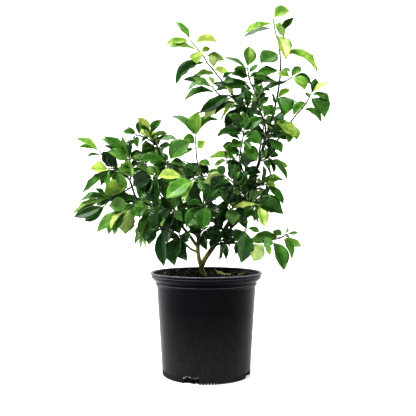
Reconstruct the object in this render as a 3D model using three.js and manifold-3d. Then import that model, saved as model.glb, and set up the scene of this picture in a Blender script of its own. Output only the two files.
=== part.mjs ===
// A young lemon tree in a black moulded nursery pot. Millimetres, +Z up, front towards -Y.
// The origin is the centre of the pot's foot, on the surface that the pot stands on.

import * as THREE from "three";
import { mergeVertices } from "three/addons/utils/BufferGeometryUtils.js";
import Module from "manifold-3d";

const wasm = await Module();
wasm.setup();

// Driving dimensions

const GAP = 0.3; // clearance between pieces that touch
const SEED = 7;

const POT = { height: 243, lip: 134.5, neck: 119.8, foot: 104.8, wall: 2.2, floor: 2.5, facets: 32 };
const RIM = { ledge: 215, ledgeStep: 1.5, edge: 2, groove: 129.6, grooveAt: 237, inner: 127.6 };
const FLARE = { start: 126.4, startAt: 225.5, end: 131, endAt: 231 };
const NOTCH = { count: 4, first: -20, width: 38, height: 13, depth: 14 };

const SOIL = { level: 231, wallGap: 0.4, flareGap: 1, footGap: 0.4, rings: 6, facets: 16 };
const RIPPLE = { height: 1.6, alongX: 13, alongY: 11 };
const HEAP = { at: [-62, 40], height: 7, spread: 50 };

// Bark chips, pressed into the soil, and the shed leaf that lies curled on it.
const CHIPS = [
  { at: [-74, 26, 238], size: [26, 9, 5], turn: 25, tip: 40 },
  { at: [-58, -14, 233], size: [20, 8, 4], turn: -30, tip: 12 },
  { at: [-42, 34, 240], size: [17, 7, 4], turn: 70, tip: 62 },
  { at: [78, -6, 232], size: [15, 7, 4], turn: 15, tip: 20 },
];
const CHIP_TAPER = 0.6;
const FALLEN_LEAF = {
  base: [20, 46, 243], tip: [66, 24, 230], width: 17, face: [0.2, -0.6, 0.8], bow: -0.06,
};

const TRUNK = { buriedTo: 168, diameter: 13, sides: 8 };
const LIMB_SIDES = 5;
const TWIG_SIDES = 3;

// Blade stations as [share of the blade's length, share of its half width].
const LONG_BLADE = [[0.26, 0.8], [0.52, 1], [0.79, 0.6]];
const SHORT_BLADE = [[0.36, 0.98], [0.72, 0.72]];
const LEAF = {
  short: 150, // leaves under this length take the short blade
  thick: 1.3, // at the midrib
  petiole: 0.12, // share of the leaf's length
  longestPetiole: 9,
  petioleHalf: 0.8,
  slim: 0.36, // narrowest width, as a share of length
  fullness: 1.2, // a blade's widest for its shown width, which is read between its waves
  lean: 25, // degrees that a full face is tipped from the front towards the sky
  outward: 0.6, // how far an upper face turns from the sky to the plant's outside
  fold: 0.24, // rise of the blade's edge for its distance from the midrib
  bow: 0.06, // height of the arch, as a share of length, where a leaf gives none of its own
  sag: 0.3, // how far the arch turns from the sky to the front and outside
  wave: 1.1, // rise and fall of the waved edge
  rootInset: 2.6, // how far a root stays from a twig's end
  margin: 0.9, // clearance kept round a blade
};
const SWINGS = [0, -9, 9, -18, 18, -27, 27, -36, 36, -48, 48, -60, 60];
const BACK_LEAF = {
  shortest: 58,
  longest: 84,
  width: 0.46, // share of the length
  turn: 2.4, // radians from one leaf to the next round the twig
  stray: 0.6, // largest draw added to a turn
  ahead: 0.55, // lean along the twig
  droop: 0.25,
  faceHeight: 220, // height that the face is tipped by, for its distance from the pot's axis
};

// Places on the plant are [x, z, depth]: x and z as they show from the front, seen from this eye
// and read in the plane of the pot's axis, and the depth behind that plane.
const EYE = { distance: 1440, height: 380, forward: 1.7 };

const LOOKS = {
  pot: { color: 0x17181b, roughness: 0.42 },
  soil: { color: 0x2a1f17, roughness: 0.95 },
  bark: { color: 0x7f7a4a, roughness: 0.8 },
  chip: { color: 0x5a3a24, roughness: 0.9 },
  fallen: { color: 0x9fb54a, roughness: 0.6 },
};
const LEAF_GREENS = { shade: 0x1d4417, young: 0xa9cf45, roughness: 0.5 };

// The wood: routes from root to end, each with its diameter at both ends.
const LIMBS = [
  { girth: [13, 4.6], sides: TRUNK.sides, route: [[-5, 168, 0], [-5, 229, 0], [-11, 250, 0],
    [-17, 272, 0], [-20, 292, 2], [-19, 315, 8], [-16, 345, 16], [-10, 380, 22], [3, 420, 15],
    [-2, 452, 5], [-12, 478, 0], [-22, 500, 0]] },
  { girth: [12, 6.5], route: [[-12, 256, 0], [0, 278, -3], [14, 298, -6], [30, 322, -8],
    [48, 350, -5], [68, 380, 0], [84, 402, 5], [95, 420, 8], [104, 445, 10], [112, 462, 10],
    [119, 485, 8], [126, 503, 5], [132, 525, 3], [138, 548, 0], [143, 570, 0]] },
  { girth: [8, 4.2], route: [[-19, 300, 4], [-30, 315, 8], [-45, 336, 14], [-57, 352, 20],
    [-60, 385, 28], [-62, 412, 30], [-74, 452, 25], [-86, 482, 15], [-95, 500, 10],
    [-103, 518, 5]] },
  { girth: [6.5, 3.6], route: [[-57, 352, 20], [-80, 375, 10], [-110, 392, -5], [-150, 408, -15],
    [-168, 420, -20], [-176, 440, -20], [-185, 464, -15], [-205, 483, -10], [-228, 498, -5],
    [-246, 512, 0]] },
  { girth: [6, 3.6], route: [[-20, 290, 1], [-38, 298, -15], [-60, 318, -35], [-82, 335, -50],
    [-100, 345, -60]] },
  { girth: [5, 3.2], route: [[18, 304, -6], [38, 311, -20], [60, 311, -30], [90, 313, -35],
    [120, 314, -38], [150, 318, -35], [178, 323, -30]] },
  { girth: [5, 4], route: [[134, 530, 2], [150, 538, -5], [165, 553, -12], [178, 566, -15]] },
  { girth: [7, 3.6], route: [[-18, 322, 10], [-40, 350, 50], [-70, 385, 95], [-105, 420, 130],
    [-130, 450, 150]] },
  { girth: [5.5, 3.4], route: [[-10, 380, 22], [-5, 420, 70], [5, 455, 115], [10, 480, 140]] },
  { girth: [6, 3.4], route: [[64, 374, -1], [85, 385, 45], [105, 410, 90], [115, 440, 120]] },
  { girth: [5, 3.2], route: [[126, 503, 5], [128, 535, 40], [135, 575, 75], [140, 610, 95]] },
];

// The leafy stems. Each twig has its route, its diameters and its leaves, and grows from a limb or
// from an earlier twig of the same stem. A leaf is [share of the twig's length where it sits, tip x,
// tip z, depth of the tip past its root, width that shows from the front, age of its green from 0,
// deep shade, to 1, young, bow: height of its arch as a share of length]. A width under 0 shows
// the leaf's underside. "back" adds that many leaves by rule, all round the twig.
const STEMS = {
  leader: [
    { girth: [6, 3], route: [[143, 570, 0], [148, 580, 0], [154, 600, 0], [162, 625, -2],
      [167, 650, -4], [173, 680, -5], [177, 715, -4], [177, 757, -2], [173, 790, 0],
      [166, 815, 2], [160, 848, 4]],
      leaves: [[1, 200, 867, -10, 22, 0.8, 0.24], [0.97, 187, 803, -14, 14, 0.75],
        [0.97, 88, 812, -15, 19, 0.75, 0.03], [0.92, 89, 804, 25, 12, 0.25],
        [0.95, 182, 829, -15, 9, 0.85], [0.84, 210, 854, 6, 13, 0.3, -0.06],
        [0.87, 191, 751, -20, 27, 0.9], [0.7, 268, 715, -6, 23, 0.75, 0.15],
        [0.7, 129, 742, -16, 36, 0.45, 0.02], [0.56, 202, 722, -8, 10, 0.5],
        [0.55, 118, 716, -12, 18, 0.5], [0.34, 184, 614, -22, 36, 0.4],
        [0.27, 156, 669, -8, 8, 0.3], [0.34, 223, 645, -8, 10, 0.5, -0.02],
        [0.33, 200, 680, 10, 14, 0.85, -0.06], [0.23, 137, 631, -12, 10, 0.8]] },
    { girth: [3.4, 3], route: [[175, 693, -5], [190, 700, -12], [206, 708, -18]],
      leaves: [[1, 168, 716, -14, 13, 0.8], [0.9, 228, 733, 10, 15, 0.6],
        [1, 235, 677, -14, 27, 0.75, 0.18], [0.95, 252, 687, 12, 16, 0.25, 0.2]] },
  ],
  side_leader: [
    { girth: [4.6, 3], route: [[140, 556, 1], [142, 574, 10], [142, 586, 12], [139, 602, 13],
      [132, 620, 16], [126, 638, 18], [121, 662, 20], [112, 684, 20], [104, 702, 18],
      [98, 733, 16]],
      leaves: [[1, 103, 784, 0, 25, 0.7], [0.97, 41, 756, 6, 10, 0.3, 0.03],
        [0.85, 168, 697, 10, 15, 0.25], [0.88, 146, 703, -6, 18, 0.35],
        [0.86, 60, 716, -6, 22, 0.3], [0.75, 21, 676, -6, 26, 0.3]] },
    { girth: [3.2, 3], route: [[121, 662, 20], [125, 669, 16], [129, 676, 12]],
      leaves: [[1, 196, 697, -4, 15, 0.4, 0.03], [1, 118, 692, -6, 7, 0.5]] },
  ],
  feather: [
    { girth: [4.8, 3], route: [[139, 552, 0], [136, 575, -10], [122, 597, -14], [98, 626, -18],
      [78, 652, -20], [62, 668, -22], [45, 690, -24], [28, 712, -26], [18, 725, -27],
      [3, 742, -28], [-6, 758, -28], [-20, 775, -28], [-38, 797, -28]],
      leaves: [[1, -76, 843, 0, 14, 0.6, 0.14], [0.99, -98, 787, -8, 15, 0.85, 0.05],
        [0.9, -95, 780, -18, 13, 0.7, 0.05], [0.97, 28, 790, -5, 20, 0.95, 0.1],
        [0.87, 10, 777, 4, 12, 0.95], [0.9, -22, 740, -14, 24, 0.85],
        [0.79, -74, 690, -8, 22, 0.2, 0.22], [0.84, 43, 748, 12, 14, 0.75, 0.12],
        [0.8, 42, 742, -6, 6, 0.8], [0.72, 12, 763, -14, -15, 0.85],
        [0.72, 52, 721, -4, 14, 0.9], [0.6, 66, 698, -6, 17, 0.35],
        [0.67, -32, 710, 20, 13, 0.7, 0.08], [0.62, 70, 720, 8, 11, 0.3],
        [0.54, 17, 693, 12, 14, 0.2], [0.5, -19, 622, -18, 25, 0.25, -0.08],
        [0.46, -8, 603, -10, -18, 0.75, 0.1], [0.45, 43, 687, -16, 8, 0.85],
        [0.4, 20, 619, -24, 10, 0.3], [0.42, 35, 605, -22, 9, 0.85],
        [0.33, 54, 662, 4, 18, 0.15], [0.3, 84, 692, 6, 15, 0.2], [0.38, 92, 692, 14, 15, 0.45],
        [0.27, 122, 652, 12, 13, 0.25], [0.24, 62, 640, 10, 14, 0.2],
        [0.36, 47, 580, 8, 26, 0.12], [0.42, 88, 660, -10, 20, 0.15]] },
    { girth: [3.4, 3], route: [[62, 668, -22], [45, 662, -34], [30, 668, -42], [21, 678, -46],
      [13, 688, -48]],
      leaves: [[1, -33, 708, -2, 14, 0.6, 0], [1, -56, 703, 8, 13, 0.25, 0.02],
        [0.97, -47, 677, -8, 14, 0.35, 0.2], [0.9, 4, 712, -8, 7, 0.9],
        [0.72, -54, 651, -10, 16, 0.5, 0.12]] },
  ],
  hub: [
    { girth: [4.2, 3], route: [[104, 445, 10], [96, 464, -10], [86, 490, -22], [80, 515, -28],
      [84, 542, -34], [88, 566, -36], [90, 580, -36]],
      leaves: [[0.98, 24, 566, 6, 13, 0.3, 0.14], [1, 49, 621, -8, 21, 0.3],
        [1, 97, 623, -12, 13, 0.5], [0.97, 104, 638, 8, 18, 0.2], [0.95, 38, 573, -4, 17, 0.3],
        [0.86, 60, 541, -16, 20, 0.6, 0.02], [0.84, 107, 536, -14, 13, 0.5],
        [0.72, 44, 521, -14, 27, 0.5], [0.55, 4, 514, -10, 11, 0.8], [0.5, 45, 502, -20, 8, 0.5],
        [0.42, 51, 499, -8, 15, 0.3], [0.36, 106, 489, -10, 13, 0.4],
        [0.2, 51, 478, -18, 18, 0.35], [0.98, 131, 548, -10, 24, 0.45],
        [0.8, 122, 507, -8, 24, 0.5], [0.7, 92, 490, 8, 22, 0.25], [1, 135, 610, 6, 22, 0.3],
        [0.96, 44, 598, 4, 24, 0.12], [0.3, 132, 478, -6, 18, 0.3], [0.5, 124, 524, 12, 22, 0.2]] },
    { girth: [3.2, 3], route: [[81, 505, -26], [62, 508, -42], [46, 508, -50]],
      leaves: [[1, 30, 508, -4, 7, 0.55], [1, 17, 495, -8, 8, 0.55]] },
  ],
  centre_right: [
    { girth: [4, 3], route: [[95, 420, 8], [80, 440, -22], [66, 455, -44], [52, 466, -54],
      [42, 474, -58]],
      leaves: [[1, 26, 495, -4, 14, 0.3], [1, 3, 481, 10, 14, 0.6],
        [0.86, -9, 455, -16, -25, 0.85], [0.55, 62, 474, -10, 16, 0.5],
        [0.8, 60, 496, -4, 16, 0.35], [1, 12, 434, 4, 20, 0.12], [0.3, 64, 432, -22, 17, 0.7],
        [0.4, 100, 438, -16, 14, 0.4], [0.55, 4, 404, -6, 18, 0.35], [0.75, 80, 498, 6, 18, 0.2],
        [0.6, 18, 438, 10, 22, 0.15], [0.2, 122, 466, 8, 18, 0.2]] },
  ],
  right_shade: [
    { girth: [4, 3], route: [[136, 540, 1], [148, 560, -18], [158, 580, -28], [164, 600, -33],
      [168, 616, -35]],
      leaves: [[1, 186, 606, -8, 16, 0.2], [0.95, 126, 637, 4, 15, 0.5],
        [0.8, 199, 597, -16, 11, 0.7], [0.7, 192, 627, 8, 14, 0.3],
        [0.5, 177, 566, -8, 10, 0.35], [0.35, 182, 527, -14, 21, 0.4],
        [0.3, 158, 524, -10, 20, 0.2], [0.9, 221, 567, -8, 24, 0.85, -0.02],
        [0.6, 146, 592, -4, 17, 0.2], [0.55, 190, 590, -10, 15, 0.5],
        [0.45, 208, 564, 10, 20, 0.5]] },
  ],
  right_arm: [
    { girth: [4.4, 3], route: [[174, 562, -14], [190, 584, -18], [200, 598, -20],
      [215, 618, -22], [235, 640, -24], [246, 658, -24], [251, 672, -24]],
      leaves: [[1, 262, 706, 5, 19, 0.3], [1, 293, 698, -5, 11, 0.95],
        [0.97, 297, 648, -6, 14, 0.5, 0.12], [0.93, 284, 612, -16, 34, 0.5, 0.02],
        [0.9, 237, 671, 8, 8, 0.3], [0.82, 208, 617, -8, 18, 0.6, 0.16],
        [0.66, 276, 600, -8, 15, 0.5, 0.16], [0.3, 216, 558, -14, 22, 0.9],
        [0.2, 198, 552, -18, 18, 0.65]] },
  ],
  right_fork: [
    { girth: [3.8, 3], route: [[127, 507, 5], [140, 512, -8], [152, 516, -16]],
      leaves: [[1, 199, 491, -6, 15, 0.7, -0.05], [0.95, 195, 461, -14, 14, 0.35],
        [1, 174, 523, 6, 13, 0.3], [0.8, 158, 502, -10, 7, 0.3],
        [0.35, 150, 491, -10, 16, 0.5, 0.16], [0.5, 158, 536, 8, 18, 0.3]] },
  ],
  right_waist: [
    { girth: [3.8, 3], route: [[110, 457, 10], [120, 452, -6], [134, 454, -14], [144, 452, -18]],
      leaves: [[0.6, 184, 463, 6, 16, 0.65, 0.1], [0.85, 167, 445, -10, 13, 0.8],
        [1, 185, 401, -12, 17, 0.4], [0.5, 129, 468, -6, 7, 0.9], [0.35, 106, 431, -14, 12, 0.75]] },
  ],
  right_broad: [
    { girth: [4, 3], route: [[91, 413, 7], [104, 412, -14], [118, 405, -30], [132, 402, -40]],
      leaves: [[0.45, 185, 381, -10, 35, 0.4], [0.88, 139, 349, -14, 20, 0.95, 0],
        [0.93, 61, 395, -14, 9, 0.95], [0.5, 106, 384, -4, 9, 0.2],
        [0.35, 52, 411, -14, 12, 0.25], [0.2, 132, 432, 6, 20, 0.15]] },
  ],
  core_right: [
    { girth: [4, 3], route: [[62, 371, -1], [60, 386, -24], [56, 398, -42]],
      leaves: [[1, 63, 354, -16, 27, 0.6], [0.9, 96, 343, -10, 18, 0.25, 0.1],
        [0.7, 58, 343, -22, 22, 0.1], [0.8, 26, 352, -10, 20, 0.1], [1, 30, 404, -4, 14, 0.2],
        [0.95, 26, 446, -4, 16, 0.3], [1, 70, 432, 6, 20, 0.12], [0.9, 22, 378, 10, 22, 0.1],
        [0.7, 88, 420, 6, 20, 0.15]] },
  ],
  low_centre: [
    { girth: [3.8, 3], route: [[26, 316, -8], [36, 330, -28], [38, 342, -44]],
      leaves: [[1, 58, 317, -12, 22, 0.1], [0.9, 12, 320, -10, 21, 0.1],
        [0.7, 67, 341, 6, 9, 0.6], [0.3, 30, 270, -8, 8, 0.15],
        [0.25, 48, 270, -12, 9, 0.15, -0.04], [0.2, 9, 299, -6, 16, 0.12],
        [1, 20, 372, 4, 16, 0.1]] },
  ],
  low_right: [
    { girth: [3.6, 3], route: [[75, 312, -32], [84, 326, -46], [93, 341, -56], [97, 348, -60]],
      leaves: [[1, 82, 262, -14, 34, 0.3], [0.85, 68, 316, 6, 24, 0.08],
        [1, 128, 337, 4, 10, 0.45], [0.2, 69, 284, -6, 16, 0.1]] },
  ],
  low_right_hanging: [
    { girth: [3.4, 3], route: [[135, 316, -36], [138, 312, -46], [141, 309, -56]],
      leaves: [[1, 115, 268, -10, -34, 0.7, 0.12], [0.9, 153, 282, -2, 12, 0.75],
        [0.7, 102, 318, -8, 13, 0.6]] },
  ],
  low_right_end: [
    { girth: [3.4, 3], route: [[152, 318, -35], [157, 321, -44], [160, 322, -52]],
      leaves: [[0.25, 186, 245, -12, 25, 0.45, 0.08], [0.9, 138, 302, -4, 16, 0.55]] },
  ],
  low_right_tip: [
    { girth: [3.2, 3], route: [[172, 322, -31], [182, 326, -30], [192, 333, -30]],
      leaves: [[0.3, 110, 323, -12, 19, 0.45], [0.4, 205, 273, -10, 15, 0.5, 0.12],
        [0.6, 231, 303, 2, 15, 0.7, -0.08], [0.6, 158, 341, 8, 13, 0.6, 0],
        [0.8, 199, 324, -8, 6, 0.3], [1, 226, 334, 2, 7, 0.5], [1, 194, 349, -4, 6, 0.75]] },
  ],
  upright: [
    { girth: [4, 3], route: [[-20, 496, 0], [-23, 516, -3], [-25, 542, -5], [-26, 566, -6]],
      leaves: [[1, -19, 628, -8, 30, 0.75], [0.98, -88, 616, 2, 15, 0.5, 0.2],
        [0.76, -57, 558, -12, 20, 0.65, 0.22], [0.97, 34, 604, 8, 18, 0.5, 0.28],
        [0.6, -2, 557, -8, 16, 0.75, -0.06], [0.6, -58, 521, 6, 8, 0.35],
        [0.1, 10, 496, -14, 15, 0.7], [0.08, -33, 470, -16, 16, 0.1],
        [0.09, -34, 488, -8, 16, 0.08], [0.1, 6, 478, -4, 16, 0.08]] },
    { girth: [3.2, 3], route: [[-22, 502, -1], [-40, 503, 8], [-56, 508, 14]],
      leaves: [[1, -52, 486, -6, 9, 0.2]] },
  ],
  left_top: [
    { girth: [4.2, 3], route: [[-101, 512, 6], [-112, 532, 0], [-119, 545, -4], [-128, 560, -8],
      [-136, 577, -10]],
      leaves: [[1, -107, 606, -6, 17, 0.4], [1, -165, 612, -10, 21, 1],
        [0.95, -161, 589, -18, 6, 0.5], [0.75, -160, 588, 4, 18, 1],
        [0.85, -92, 572, 8, 11, 0.85], [0.72, -67, 559, -6, 14, 0.4],
        [0.4, -132, 589, 8, 15, 0.8], [0.45, -156, 523, -14, 25, 0.6, 0.02],
        [0.5, -97, 508, -8, 11, 0.3], [0.42, -84, 546, -8, 12, 0.6], [0.5, -132, 500, 8, 20, 0.3]] },
    { girth: [3.2, 3], route: [[-119, 545, -4], [-140, 561, -12], [-158, 568, -16],
      [-171, 572, -18]],
      leaves: [[1, -201, 580, 4, 12, 0.5, 0], [0.97, -190, 589, -6, 7, 0.45],
        [0.93, -162, 539, -8, 12, 0.5]] },
  ],
  left_waist: [
    { girth: [4, 3], route: [[-93, 496, 11], [-94, 503, -6], [-90, 507, -22]],
      leaves: [[1, -38, 553, -6, 34, 0.55], [0.9, -166, 508, -8, 15, 0.5],
        [0.8, -128, 486, -6, 15, 0.5], [0.95, -68, 474, -14, 15, 0.15],
        [0.9, -52, 499, -6, 14, 0.35], [0.6, -136, 504, -12, 18, 0.5, 0]] },
  ],
  left_inner: [
    { girth: [4, 3], route: [[-76, 457, 24], [-95, 466, -8], [-112, 472, -30], [-126, 470, -46]],
      leaves: [[0.92, -59, 470, -14, 19, 0.95], [0.8, -74, 452, 2, 15, 0.35],
        [1, -152, 489, 2, 11, 0.55], [1, -158, 414, -16, 29, 0.3],
        [0.97, -120, 401, -24, 25, 0.15], [0.7, -74, 402, -6, 22, 0.3],
        [0.5, -146, 497, 8, 8, 0.6], [0.97, -176, 448, -6, 32, 0.12]] },
  ],
  left_front: [
    { girth: [4, 3], route: [[-9, 470, 1], [-16, 470, -26], [-26, 464, -50]],
      leaves: [[1, -97, 418, -14, 33, 0.65], [1, -52, 408, -26, 14, 0.8],
        [0.9, -60, 467, 10, 10, 0.3], [0.8, -28, 404, 6, 20, 0.1], [0.15, -4, 432, -8, 18, 0.08]] },
  ],
  low_front: [
    { girth: [4, 3], route: [[-12, 368, 20], [-8, 384, -20], [-4, 396, -50], [-1, 402, -66]],
      leaves: [[0.95, -49, 350, -14, 33, 0.35, 0], [1, -9, 342, -20, 30, 0.45],
        [0.97, 14, 452, 4, 18, 0.25], [0.75, -72, 396, 2, 10, 0.35], [0.7, -40, 414, 6, 14, 0.2],
        [0.85, 28, 371, -4, 15, 0.2], [0.9, 16, 408, 8, 18, 0.15], [0.6, -34, 438, 10, 22, 0.15]] },
  ],
  low_stub: [
    { girth: [3.6, 3], route: [[-18, 327, 11], [-11, 340, -6], [-1, 348, -18], [13, 351, -24]],
      leaves: [[0.35, 3, 294, -10, 18, 0.2], [1, 41, 345, 4, 12, 0.1],
        [0.9, 28, 330, -8, 13, 0.1], [0.6, 5, 320, 6, 18, 0.08], [0.5, -44, 338, -8, 16, 0.1]] },
  ],
  low_left: [
    { girth: [3.8, 3], route: [[-58, 316, -33], [-62, 327, -44], [-64, 333, -54]],
      leaves: [[1, -46, 267, -10, 26, 0.15], [1, -76, 256, -14, 35, 0.15],
        [0.9, -42, 316, 6, 18, 0.15]] },
  ],
  low_left_end: [
    { girth: [3.8, 3], route: [[-96, 343, -58], [-108, 350, -66], [-120, 350, -70]],
      leaves: [[0.5, -101, 254, -10, 22, 0.1, 0], [1, -138, 307, -4, 20, 0.15],
        [0.8, -86, 394, 6, 26, 0.1], [0.9, -128, 396, 4, 22, 0.1]] },
  ],
  left_shade: [
    { girth: [4, 3], route: [[-84, 377, 8], [-80, 386, -18], [-74, 390, -38]],
      leaves: [[1, -64, 334, -8, 28, 0.1], [0.9, -106, 331, -10, 28, 0.1],
        [1, -45, 386, -4, 12, 0.35], [0.7, -110, 420, -6, 18, 0.15],
        [0.9, -70, 433, 2, 16, 0.35], [0.6, -40, 350, 6, 24, 0.08], [0.9, -94, 310, 6, 26, 0.08]] },
  ],
  left_hanging: [
    { girth: [4, 3], route: [[-130, 400, -10], [-132, 399, -34], [-131, 393, -52]],
      leaves: [[1, -146, 316, -12, 29, 0.4], [0.9, -145, 300, 4, 13, 0.75],
        [0.85, -157, 294, -4, 14, 0.6], [0.95, -172, 308, -14, 11, 0.5, -0.12],
        [0.6, -109, 378, -8, 12, 0.85], [0.5, -177, 372, -6, 20, 0.55, 0.1],
        [0.8, -122, 332, 4, 28, 0.15]] },
  ],
  left_fringe: [
    { girth: [4, 3], route: [[-164, 417, -19], [-174, 404, -42], [-184, 394, -58],
      [-194, 390, -66]],
      leaves: [[0.7, -193, 332, -12, -33, 0.7], [0.97, -263, 337, -6, 23, 0.6],
        [0.95, -236, 331, 0, 17, 0.55], [1, -229, 343, -16, 8, 1],
        [0.9, -224, 327, -6, 14, 0.45], [0.85, -234, 401, -12, 26, 0.6],
        [0.4, -150, 395, -16, 18, 0.55], [0.05, -198, 409, 4, 16, 0.3],
        [0.15, -250, 413, 6, 24, 0.35], [0.3, -196, 372, 4, 20, 0.4]] },
  ],
  left_low_far: [
    { girth: [4, 3], route: [[-178, 446, -19], [-198, 434, -32], [-220, 424, -38],
      [-242, 418, -42]],
      leaves: [[1, -321, 380, 8, 9, 0.75, 0.02], [0.95, -316, 376, -4, 14, 0.6, 0.02],
        [0.9, -304, 411, 12, 13, 0.6], [0.95, -268, 444, -6, 8, 0.55],
        [0.97, -271, 405, -14, 9, 0.45], [0.08, -245, 424, -14, 32, 0.85, 0.1],
        [0.35, -249, 419, 10, 8, 0.3], [0.2, -212, 484, -10, 20, 0.6],
        [0.8, -263, 402, -8, 20, 0.4]] },
    { girth: [3.4, 3], route: [[-220, 424, -38], [-236, 410, -46], [-244, 400, -50]],
      leaves: [[1, -318, 374, -4, 20, 0.25, -0.04], [0.85, -293, 364, 8, 22, 0.3, -0.05]] },
  ],
  left_far: [
    { girth: [4, 3], route: [[-200, 478, -11], [-208, 486, -26], [-222, 490, -38],
      [-234, 490, -44]],
      leaves: [[0.7, -252, 448, -12, 17, 0.35, 0.06], [1, -297, 430, -4, 17, 0.4, 0.03],
        [0.95, -279, 488, -6, 24, 0.9, -0.03], [0.3, -222, 458, 6, 18, 0.3],
        [0.5, -236, 518, -16, 15, 0.95], [0.75, -249, 531, 4, 25, 0.05]] },
  ],
  left_crown: [
    { girth: [4, 3], route: [[-183, 459, -16], [-180, 482, -32], [-182, 500, -40],
      [-184, 516, -44]],
      leaves: [[1, -246, 567, -4, 19, 0.5], [1, -253, 562, 8, 11, 0.55],
        [0.97, -201, 571, -12, 8, 0.65], [0.92, -254, 547, -12, 13, 0.35],
        [0.9, -238, 531, -20, 20, 0.6], [1, -186, 560, 8, 20, 0.15],
        [0.97, -157, 514, -8, 9, 0.75], [0.93, -152, 527, 8, 17, 0.3],
        [0.7, -164, 505, 8, 10, 0.25], [0.15, -188, 512, -18, 30, 0.7],
        [0.3, -154, 464, -8, 16, 0.5]] },
  ],
  left_tip: [
    { girth: [3.6, 3], route: [[-240, 508, -1], [-248, 520, -2], [-256, 534, -4]],
      leaves: [[1, -315, 562, -4, 14, 0.75], [0.97, -307, 541, 6, 8, 0.6],
        [0.6, -289, 519, -4, 8, 0.4]] },
  ],
  back_left: [
    { girth: [3.8, 3], back: 6, route: [[-105, 420, 130], [-120, 405, 150], [-145, 395, 165],
      [-172, 398, 170]] },
  ],
  back_left_top: [
    { girth: [3.6, 3], back: 6, route: [[-125, 444, 147], [-140, 470, 160], [-152, 495, 160],
      [-160, 520, 150]] },
  ],
  back_centre: [
    { girth: [3.6, 3], back: 6, route: [[8, 472, 133], [-10, 470, 152], [-36, 462, 160],
      [-62, 452, 160]] },
  ],
  back_right: [
    { girth: [3.6, 3], back: 6, route: [[112, 433, 113], [108, 445, 135], [95, 440, 155],
      [80, 425, 165]] },
  ],
  back_top: [
    { girth: [3.4, 3], back: 6, route: [[138, 600, 91], [130, 622, 100], [112, 638, 106],
      [90, 646, 110]] },
  ],
};

const UP = new THREE.Vector3(0, 0, 1);
const FRONT = new THREE.Vector3(0, -1, 0);

// Places, shapes and solids

function place([x, z, depth]) {
  const spread = 1 + depth / EYE.distance;
  return new THREE.Vector3(x * spread, depth, EYE.height + (z - EYE.height) * spread);
}

// A place on a limb or twig: those in front of the pot's axis stand further forward than they are
// written, which leaves their look from the front as it is.
function placeOnRoute([x, z, depth]) {
  return place([x, z, depth < 0 ? depth * EYE.forward : depth]);
}

function seededDraw(seed) {
  let state = seed;
  return () => {
    state = (state + 0x6d2b79f5) | 0;
    let mixed = Math.imul(state ^ (state >>> 15), 1 | state);
    mixed = (mixed + Math.imul(mixed ^ (mixed >>> 7), 61 | mixed)) ^ mixed;
    return ((mixed ^ (mixed >>> 14)) >>> 0) / 4294967296;
  };
}

function squareTo(vector, axis) {
  return vector.clone().addScaledVector(axis, -vector.dot(axis));
}

function solidOf(geometry) {
  geometry.deleteAttribute("normal");
  geometry.deleteAttribute("uv");
  const welded = mergeVertices(geometry);
  const corners = welded.index.array;
  const faces = [];
  for (let i = 0; i < corners.length; i += 3) {
    const face = corners.slice(i, i + 3);
    if (new Set(face).size === 3) faces.push(...face);
  }
  return new wasm.Manifold(new wasm.Mesh({
    numProp: 3,
    vertProperties: welded.attributes.position.array,
    triVerts: Uint32Array.from(faces),
  }));
}

function geometryOf(solid) {
  const { vertProperties, triVerts } = solid.getMesh();
  const geometry = new THREE.BufferGeometry();
  geometry.setAttribute("position", new THREE.BufferAttribute(vertProperties, 3));
  geometry.setIndex(new THREE.BufferAttribute(triVerts, 1));
  geometry.computeVertexNormals();
  return geometry;
}

// A closed skin over a row of outlines with the same number of corners, each running anticlockwise
// about the way ahead. The last outline may be a single point. The diagonals of neighbouring
// quads mirror each other, so that the two faces of a blade are split alike.
function loft(outlines) {
  const count = outlines[0].length;
  const faces = [];
  for (let corner = 1; corner < count - 1; corner++) faces.push(0, corner + 1, corner);
  for (let row = 1; row < outlines.length; row++) {
    const start = (row - 1) * count;
    const end = row * count;
    for (let corner = 0; corner < count; corner++) {
      const next = (corner + 1) % count;
      if (outlines[row].length === 1) faces.push(start + corner, start + next, end);
      else if (corner % 2) {
        faces.push(start + corner, start + next, end + corner);
        faces.push(start + next, end + next, end + corner);
      } else {
        faces.push(start + corner, start + next, end + next);
        faces.push(start + corner, end + next, end + corner);
      }
    }
  }
  const last = (outlines.length - 1) * count;
  if (outlines.at(-1).length > 1) {
    for (let corner = 1; corner < count - 1; corner++) faces.push(last, last + corner, last + corner + 1);
  }
  const geometry = new THREE.BufferGeometry().setFromPoints(outlines.flat());
  geometry.setIndex(faces);
  return solidOf(geometry);
}

// A tapered round stem along its route, grown all over by a margin where a clearance is wanted.
function stem({ points: route, girth, sides = TWIG_SIDES }, margin = 0) {
  const points = lengthened(route, margin);
  const reach = distances(points);
  const side = new THREE.Vector3();
  const before = new THREE.Vector3();
  const turn = new THREE.Quaternion();
  return loft(points.map((centre, i) => {
    const ahead = (points[i + 1] ?? centre).clone().sub(points[i - 1] ?? centre).normalize();
    const steady = Math.abs(ahead.y) < 0.9 ? FRONT : UP;
    if (i === 0) side.crossVectors(ahead, steady).normalize();
    else side.applyQuaternion(turn.setFromUnitVectors(before, ahead));
    before.copy(ahead);
    const up = ahead.clone().cross(side);
    const radius = THREE.MathUtils.lerp(...girth, reach[i] / reach.at(-1)) / 2 + margin;
    return Array.from({ length: sides }, (_, corner) => {
      const angle = (corner * 2 * Math.PI) / sides;
      return centre.clone()
        .addScaledVector(side, radius * Math.cos(angle))
        .addScaledVector(up, radius * Math.sin(angle));
    });
  }));
}

// A route with both its ends carried on by a margin.
function lengthened(points, margin) {
  const carriedOn = (end, inner) => {
    const ahead = end.clone().sub(inner).normalize();
    return end.clone().addScaledVector(ahead, margin);
  };
  const first = carriedOn(points[0], points[1]);
  const last = carriedOn(points.at(-1), points.at(-2));
  return [first, ...points.slice(1, -1), last];
}

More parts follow.
